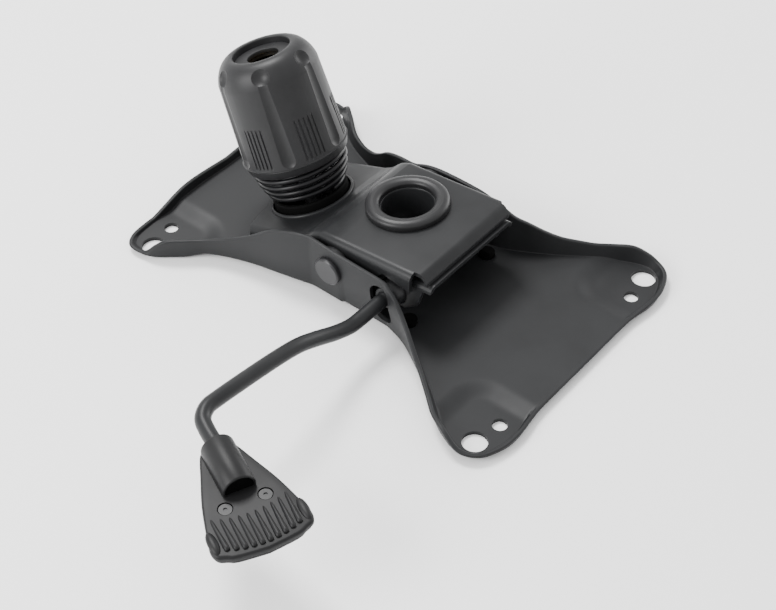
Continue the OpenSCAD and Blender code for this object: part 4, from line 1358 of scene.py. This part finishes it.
@dataclass
class PaddleHandle:
    """The paddle: two moulded shells, a barrel for the rod and a row of grip ribs."""

    length: float = 61.0
    half_y: float = 24.5
    barrel_d: float = 16.4
    barrel_len: float = 30.0
    barrel_back: float = 1.5
    top_z: float = -1.6
    upper: float = 3.0
    seam: float = 0.6
    lower: float = 2.8
    bow: float = 3.5
    ribs: int = 10
    middle_x: float = 38.0
    rib_len: float = 19.0
    screw_x: float = 36.0
    screw_y: float = 9.8
    screw_r: float = 3.7
    rod_bore: float = 4.3
    # A near-black disc sits inside the barrel's open mouth as painted shade. These give its depth from the
    # mouth, its thickness and its radius.
    shade_disc_back: float = 1.6
    shade_disc_len: float = 0.6
    shade_disc_r: float = 7.3

    def plan(self, inset: float) -> list[Vector]:
        """Outline of a shell in the handle's own frame.

        Args:
            inset: How far it lies inside the largest outline.

        Returns:
            Points in order round the paddle.
        """
        w0, w1 = self.barrel_d / 2 + 1.4 - inset, self.half_y - inset
        front = self.length - inset
        side = [(inset, 0), (inset, w0 - 4.4), (inset + 0.7, w0 - 2.0), (4, w0), (14, w0 + 3.6)]
        side += [(30, w0 + 9.2), (front - 13, w1 - 1.2), (front - 6, w1), (front - 1.8, w1 - 1.4)]
        side += [(front, w1 - 5), (front + 0.55 * self.bow, 0.6 * w1), (front + self.bow, 0)]
        half = curve_points(side, 4)
        return [Vector((x, y, 0)) for x, y in half] + [Vector((x, -y, 0)) for x, y in half[-2:0:-1]]

    def slab(
        self, inset: float, low: float, high: float, round_low: float, round_high: float
    ) -> bmesh.types.BMesh:
        """One shell with rounded edges.

        Args:
            inset: Inset of its outline.
            low: Height of its underside.
            high: Height of its upper side.
            round_low: Radius of its lower edge.
            round_high: Radius of its upper edge.

        Returns:
            The closed mesh.
        """
        middle = Vector((self.middle_x, 0, 0))
        lower, upper = self.plan(inset + round_low), self.plan(inset + round_high)
        rings = [[middle.lerp(p, share) + Vector((0, 0, low)) for p in lower] for share in (0.55, 0.85)]
        for start, radius, sign in ((low, round_low, 1), (high, round_high, -1)):
            for k in range(6):
                a = math.pi / 2 * (k if sign > 0 else 5 - k) / 5
                lifted = Vector((0, 0, start + sign * radius * (1 - math.cos(a))))
                rings.append([p + lifted for p in self.plan(inset + radius * (1 - math.sin(a)))])
        rings += [[middle.lerp(p, share) + Vector((0, 0, high)) for p in upper] for share in (0.85, 0.55)]
        bm = bmesh.new()
        skin(bm, rings)
        return bm

    def screw_cutters(self, place: Matrix) -> list[bpy.types.Object]:
        """Solids for the two screw recesses.

        Args:
            place: The handle's frame.

        Returns:
            The cutters.
        """
        out = []
        for s in (-1, 1):
            spot = place @ Matrix.Translation((self.screw_x, s * self.screw_y, 0))
            out.append(cylinder_piece("recess", spot, self.screw_r, self.top_z - 1.4, 6, 48))
        return out

    def barrel(self, place: Matrix) -> bpy.types.Object:
        """The barrel with its open, rounded mouth.

        Args:
            place: The handle's frame.

        Returns:
            The barrel's object.
        """
        r, mouth = self.barrel_d / 2, self.barrel_d / 2 - 1.1
        back, end = self.barrel_back, self.barrel_len
        profile = [(self.rod_bore, back), (r - 1.2, back), (r - 0.3, back + 0.35), (r, back + 1.2)]
        profile += [(r, end - 0.9), (r - 0.3, end - 0.25), (r - 0.7, end), (mouth + 0.2, end)]
        profile += [(mouth, end - 0.3), (mouth, end - 6), (self.rod_bore, end - 6)]
        bm = bmesh.new()
        skin(bm, turned(profile, 72), closed=True)
        bm.transform(place @ Matrix.Rotation(math.pi / 2, 4, "Y"))
        return new_piece("handle_barrel", bm, 40.0)

    def rib(self, bm: bmesh.types.BMesh, k: int, place: Matrix) -> None:
        """Adds one tapered grip rib.

        Args:
            bm: The mesh to add to.
            k: The rib's number.
            place: The handle's frame.
        """
        a = -1 + 2 * k / (self.ribs - 1)
        y = a * (self.half_y - 6.5)
        bow = self.bow * (1 - a * a)
        start = Vector((self.length - self.rib_len - 3 + bow, y, self.top_z))
        spot = place @ Matrix.Translation(start) @ Matrix.Rotation(math.radians(-2 * a), 4, "Z")
        sizes = ((0.0, 0.2), (0.03, 0.5), (0.12, 0.8), (0.5, 1.15), (0.9, 1.45), (0.98, 1.35), (1.0, 0.9))
        rings = []
        for share, size in sizes:
            x = self.rib_len * share
            rings.append([spot @ Vector((x, size * math.cos(t), size * math.sin(t))) for t in turns(16)])
        skin(bm, rings)

    def knuckle(self, bm: bmesh.types.BMesh, side: int, place: Matrix) -> None:
        """Adds the lump at one end of the row of ribs.

        Args:
            bm: The mesh to add to.
            side: 1 or -1 for the end.
            place: The handle's frame.
        """
        spot = Vector((self.length - 9.5, side * (self.half_y - 2.6), self.top_z - 0.4))
        long, wide, high = 7.0, 2.5, 1.9
        rings = []
        for j in range(9):
            lean = math.pi * (j / 8 - 0.5)
            c, x = math.cos(lean), long * math.sin(lean)
            ring = [Vector((x, wide * c * math.cos(t), high * c * math.sin(t))) for t in turns(20)]
            rings.append([place @ (spot + v) for v in ring])
        skin(bm, rings)

    def build(self, paints: Paints, place: Matrix) -> None:
        """Builds and dresses the upper shell, the barrel, the ribs and the lower shell.

        Args:
            paints: The finishes.
            place: The handle's frame.
        """
        low = self.top_z - self.upper
        bm = self.slab(0.0, low, self.top_z, 0.4, 1.3)
        bm.transform(place)
        upper = new_piece("handle_upper_shell", bm, 30.0)
        cut(upper, self.screw_cutters(place))
        soften(upper.data, 30.0)
        barrel = self.barrel(place)
        bm = bmesh.new()
        for k in range(self.ribs):
            self.rib(bm, k, place)
        for side in (-1, 1):
            self.knuckle(bm, side, place)
        ribs = new_piece("handle_grip_ribs", bm, 50.0)
        # Painted shade: a near-black disc a little inside the barrel's open mouth makes the mouth read dark.
        # It stands for the shade in there and is not a part of the handle.
        depth = Matrix.Translation((self.barrel_len - self.shade_disc_back, 0, 0))
        shade_disc_place = place @ depth @ Matrix.Rotation(math.pi / 2, 4, "Y")
        shade_disc = cylinder_piece("handle_barrel_painted_shade_disc", shade_disc_place, self.shade_disc_r, 0, self.shade_disc_len)
        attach(paints.on(shade_disc, Slot.RUBBER), Body.LEVER.value)
        bm = self.slab(0.7, low - self.seam - self.lower, low - self.seam, 1.8, 0.4)
        bm.transform(place)
        lower = new_piece("handle_lower_shell", bm, 30.0)
        for piece in (upper, barrel, ribs, lower):
            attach(paints.on(piece, Slot.HANDLE), Body.LEVER.value)
        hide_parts("handle_upper")
        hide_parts("handle_lower")


@dataclass(frozen=True)
class CarriedNodes:
    """CAD nodes whose shape is right: they get broken edges and their finish."""

    groups: tuple[tuple[Slot, tuple[str, ...]], ...] = (
        (Slot.HOUSING, ("inner_channel",)),
        (Slot.TUBE, ("cone_tube",)),
        (Slot.RING, ("cone_ring",)),
        (Slot.RIVET, ("pivot_rivet_near", "pivot_rivet_far", "ball_bush")),
        (Slot.NYLON, ("pivot_bush_near", "pivot_bush_far", "thrust_disc", "bush_retainer", "handle_screws")),
        (Slot.ZINC, ("push_nut_near", "push_nut_far", "spring_washer", "tension_bolt", "anchor_pin")),
        (Slot.RUBBER, ("spring_cup", "front_bumpers", "rear_bumpers")),
        (Slot.CAP, ("knob_cap",)),
        (Slot.BRASS, ("knob_nut",)),
        (Slot.PLATE, ("bolt_lugs",)),
        (Slot.LEVER, ("rod_collar",)),
    )

    def dress(self, paints: Paints) -> None:
        """Gives each node its finish and rounded edges.

        Args:
            paints: The finishes.
        """
        for slot, names in self.groups:
            for name in names:
                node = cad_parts[name]
                node.data.materials.clear()
                node.data.materials.append(paints.made[slot])
                break_edges(node, 0.3, 40.0)
                LOG.info("dressed %s as %s", name, slot.value)


@dataclass
class Studio:
    """Floor, soft light and the photograph's camera."""

    lens: float = 73.14
    sensor: float = 36.0
    azimuth: float = 39.99
    elevation: float = 44.70
    roll: float = -0.42
    target: Point3 = (17.38, -27.76, 0.0)
    distance: float = 867.31

    def camera(self) -> None:
        """Places the camera as in the photograph."""
        az, el = math.radians(self.azimuth), math.radians(self.elevation)
        back = Vector((math.sin(az) * math.cos(el), -math.cos(az) * math.cos(el), math.sin(el)))
        right = Vector((math.cos(az), math.sin(az), 0))
        up = back.cross(right)
        turn = math.radians(self.roll)
        right2 = math.cos(turn) * right + math.sin(turn) * up
        up2 = -math.sin(turn) * right + math.cos(turn) * up
        place = Matrix((right2, up2, back)).transposed().to_4x4()
        place.translation = (Vector(self.target) + back * self.distance) * MM
        data = bpy.data.cameras.new("photo_camera")
        data.lens = self.lens
        data.sensor_width = self.sensor
        data.sensor_fit = "HORIZONTAL"
        data.clip_start = 0.01
        data.clip_end = 20.0
        eye = bpy.data.objects.new("photo_camera", data)
        eye.matrix_world = place
        bpy.context.scene.collection.objects.link(eye)
        bpy.context.scene.camera = eye

    def floor(self) -> None:
        """Lays a pale floor under the seat face."""
        bm = bmesh.new()
        half = 4000.0
        corners = ((-half, -half), (half, -half), (half, half), (-half, half))
        bm.faces.new([bm.verts.new((x, y, -0.05)) for x, y in corners])
        floor = new_piece("studio_floor", bm)
        g = Graph("pale_floor")
        cloud = g.noise(400.0, 2.0)
        colour = g.tint(cloud, (0.96,) * 3, (0.98,) * 3)
        floor.data.materials.append(g.surface({"Base Color": colour, "Roughness": 0.7}))

    def lamp(self, name: str, place: Point3, size: float, watts: float) -> None:
        """Adds one soft square lamp that faces the object.

        Args:
            name: The lamp's name.
            place: Its place in metres.
            size: Its side in metres.
            watts: Its power.
        """
        data = bpy.data.lights.new(name, "AREA")
        data.shape = "SQUARE"
        data.size = size
        data.energy = watts
        lamp = bpy.data.objects.new(name, data)
        lamp.location = place
        aim = Vector((0, 0, 0.03)) - Vector(place)
        lamp.rotation_euler = aim.to_track_quat("-Z", "Y").to_euler()
        bpy.context.scene.collection.objects.link(lamp)

    def build(self) -> None:
        """Sets up the whole studio."""
        self.camera()
        self.floor()
        world = bpy.data.worlds.new("studio_world")
        world.use_nodes = True
        back = world.node_tree.nodes["Background"]
        back.inputs[0].default_value = (1.0, 1.0, 1.0, 1.0)
        back.inputs[1].default_value = 1.3
        bpy.context.scene.world = world
        self.lamp("key_softbox", (-0.75, 0.22, 1.4), 0.5, 30.0)
        self.lamp("side_softbox", (-0.45, -1.15, 0.75), 0.7, 22.0)
        self.lamp("rim_softbox", (0.2, 1.3, 0.35), 0.7, 8.0)


def main() -> None:
    """Builds the studio, the finishes and every piece in order."""
    logging.basicConfig(level=logging.INFO, format="%(message)s")
    Studio().build()
    paints = Paints().make()
    cover = PressedCover()
    rod = LeverRod()
    handle_place = Matrix.Translation(rod.barrel_start()) @ Matrix.Rotation(-math.radians(rod.turn), 4, "Z")
    steps: list[tuple[str, Callable[[], None]]] = [
        ("seat plate", lambda: PressedPlate().build(paints)),
        ("housing cover", lambda: cover.build(paints)),
        ("tension spring", lambda: CoilSpring().build(paints, cover.spring_frame())),
        ("tension knob", lambda: GripKnob().build(paints, cover.spring_frame())),
        ("lever rod", lambda: rod.build(paints)),
        ("paddle handle", lambda: PaddleHandle().build(paints, handle_place)),
        ("carried nodes", lambda: CarriedNodes().dress(paints)),
    ]
    for label, step in steps:
        step()
        LOG.info("built the %s", label)


if __name__ == "__main__":
    main()
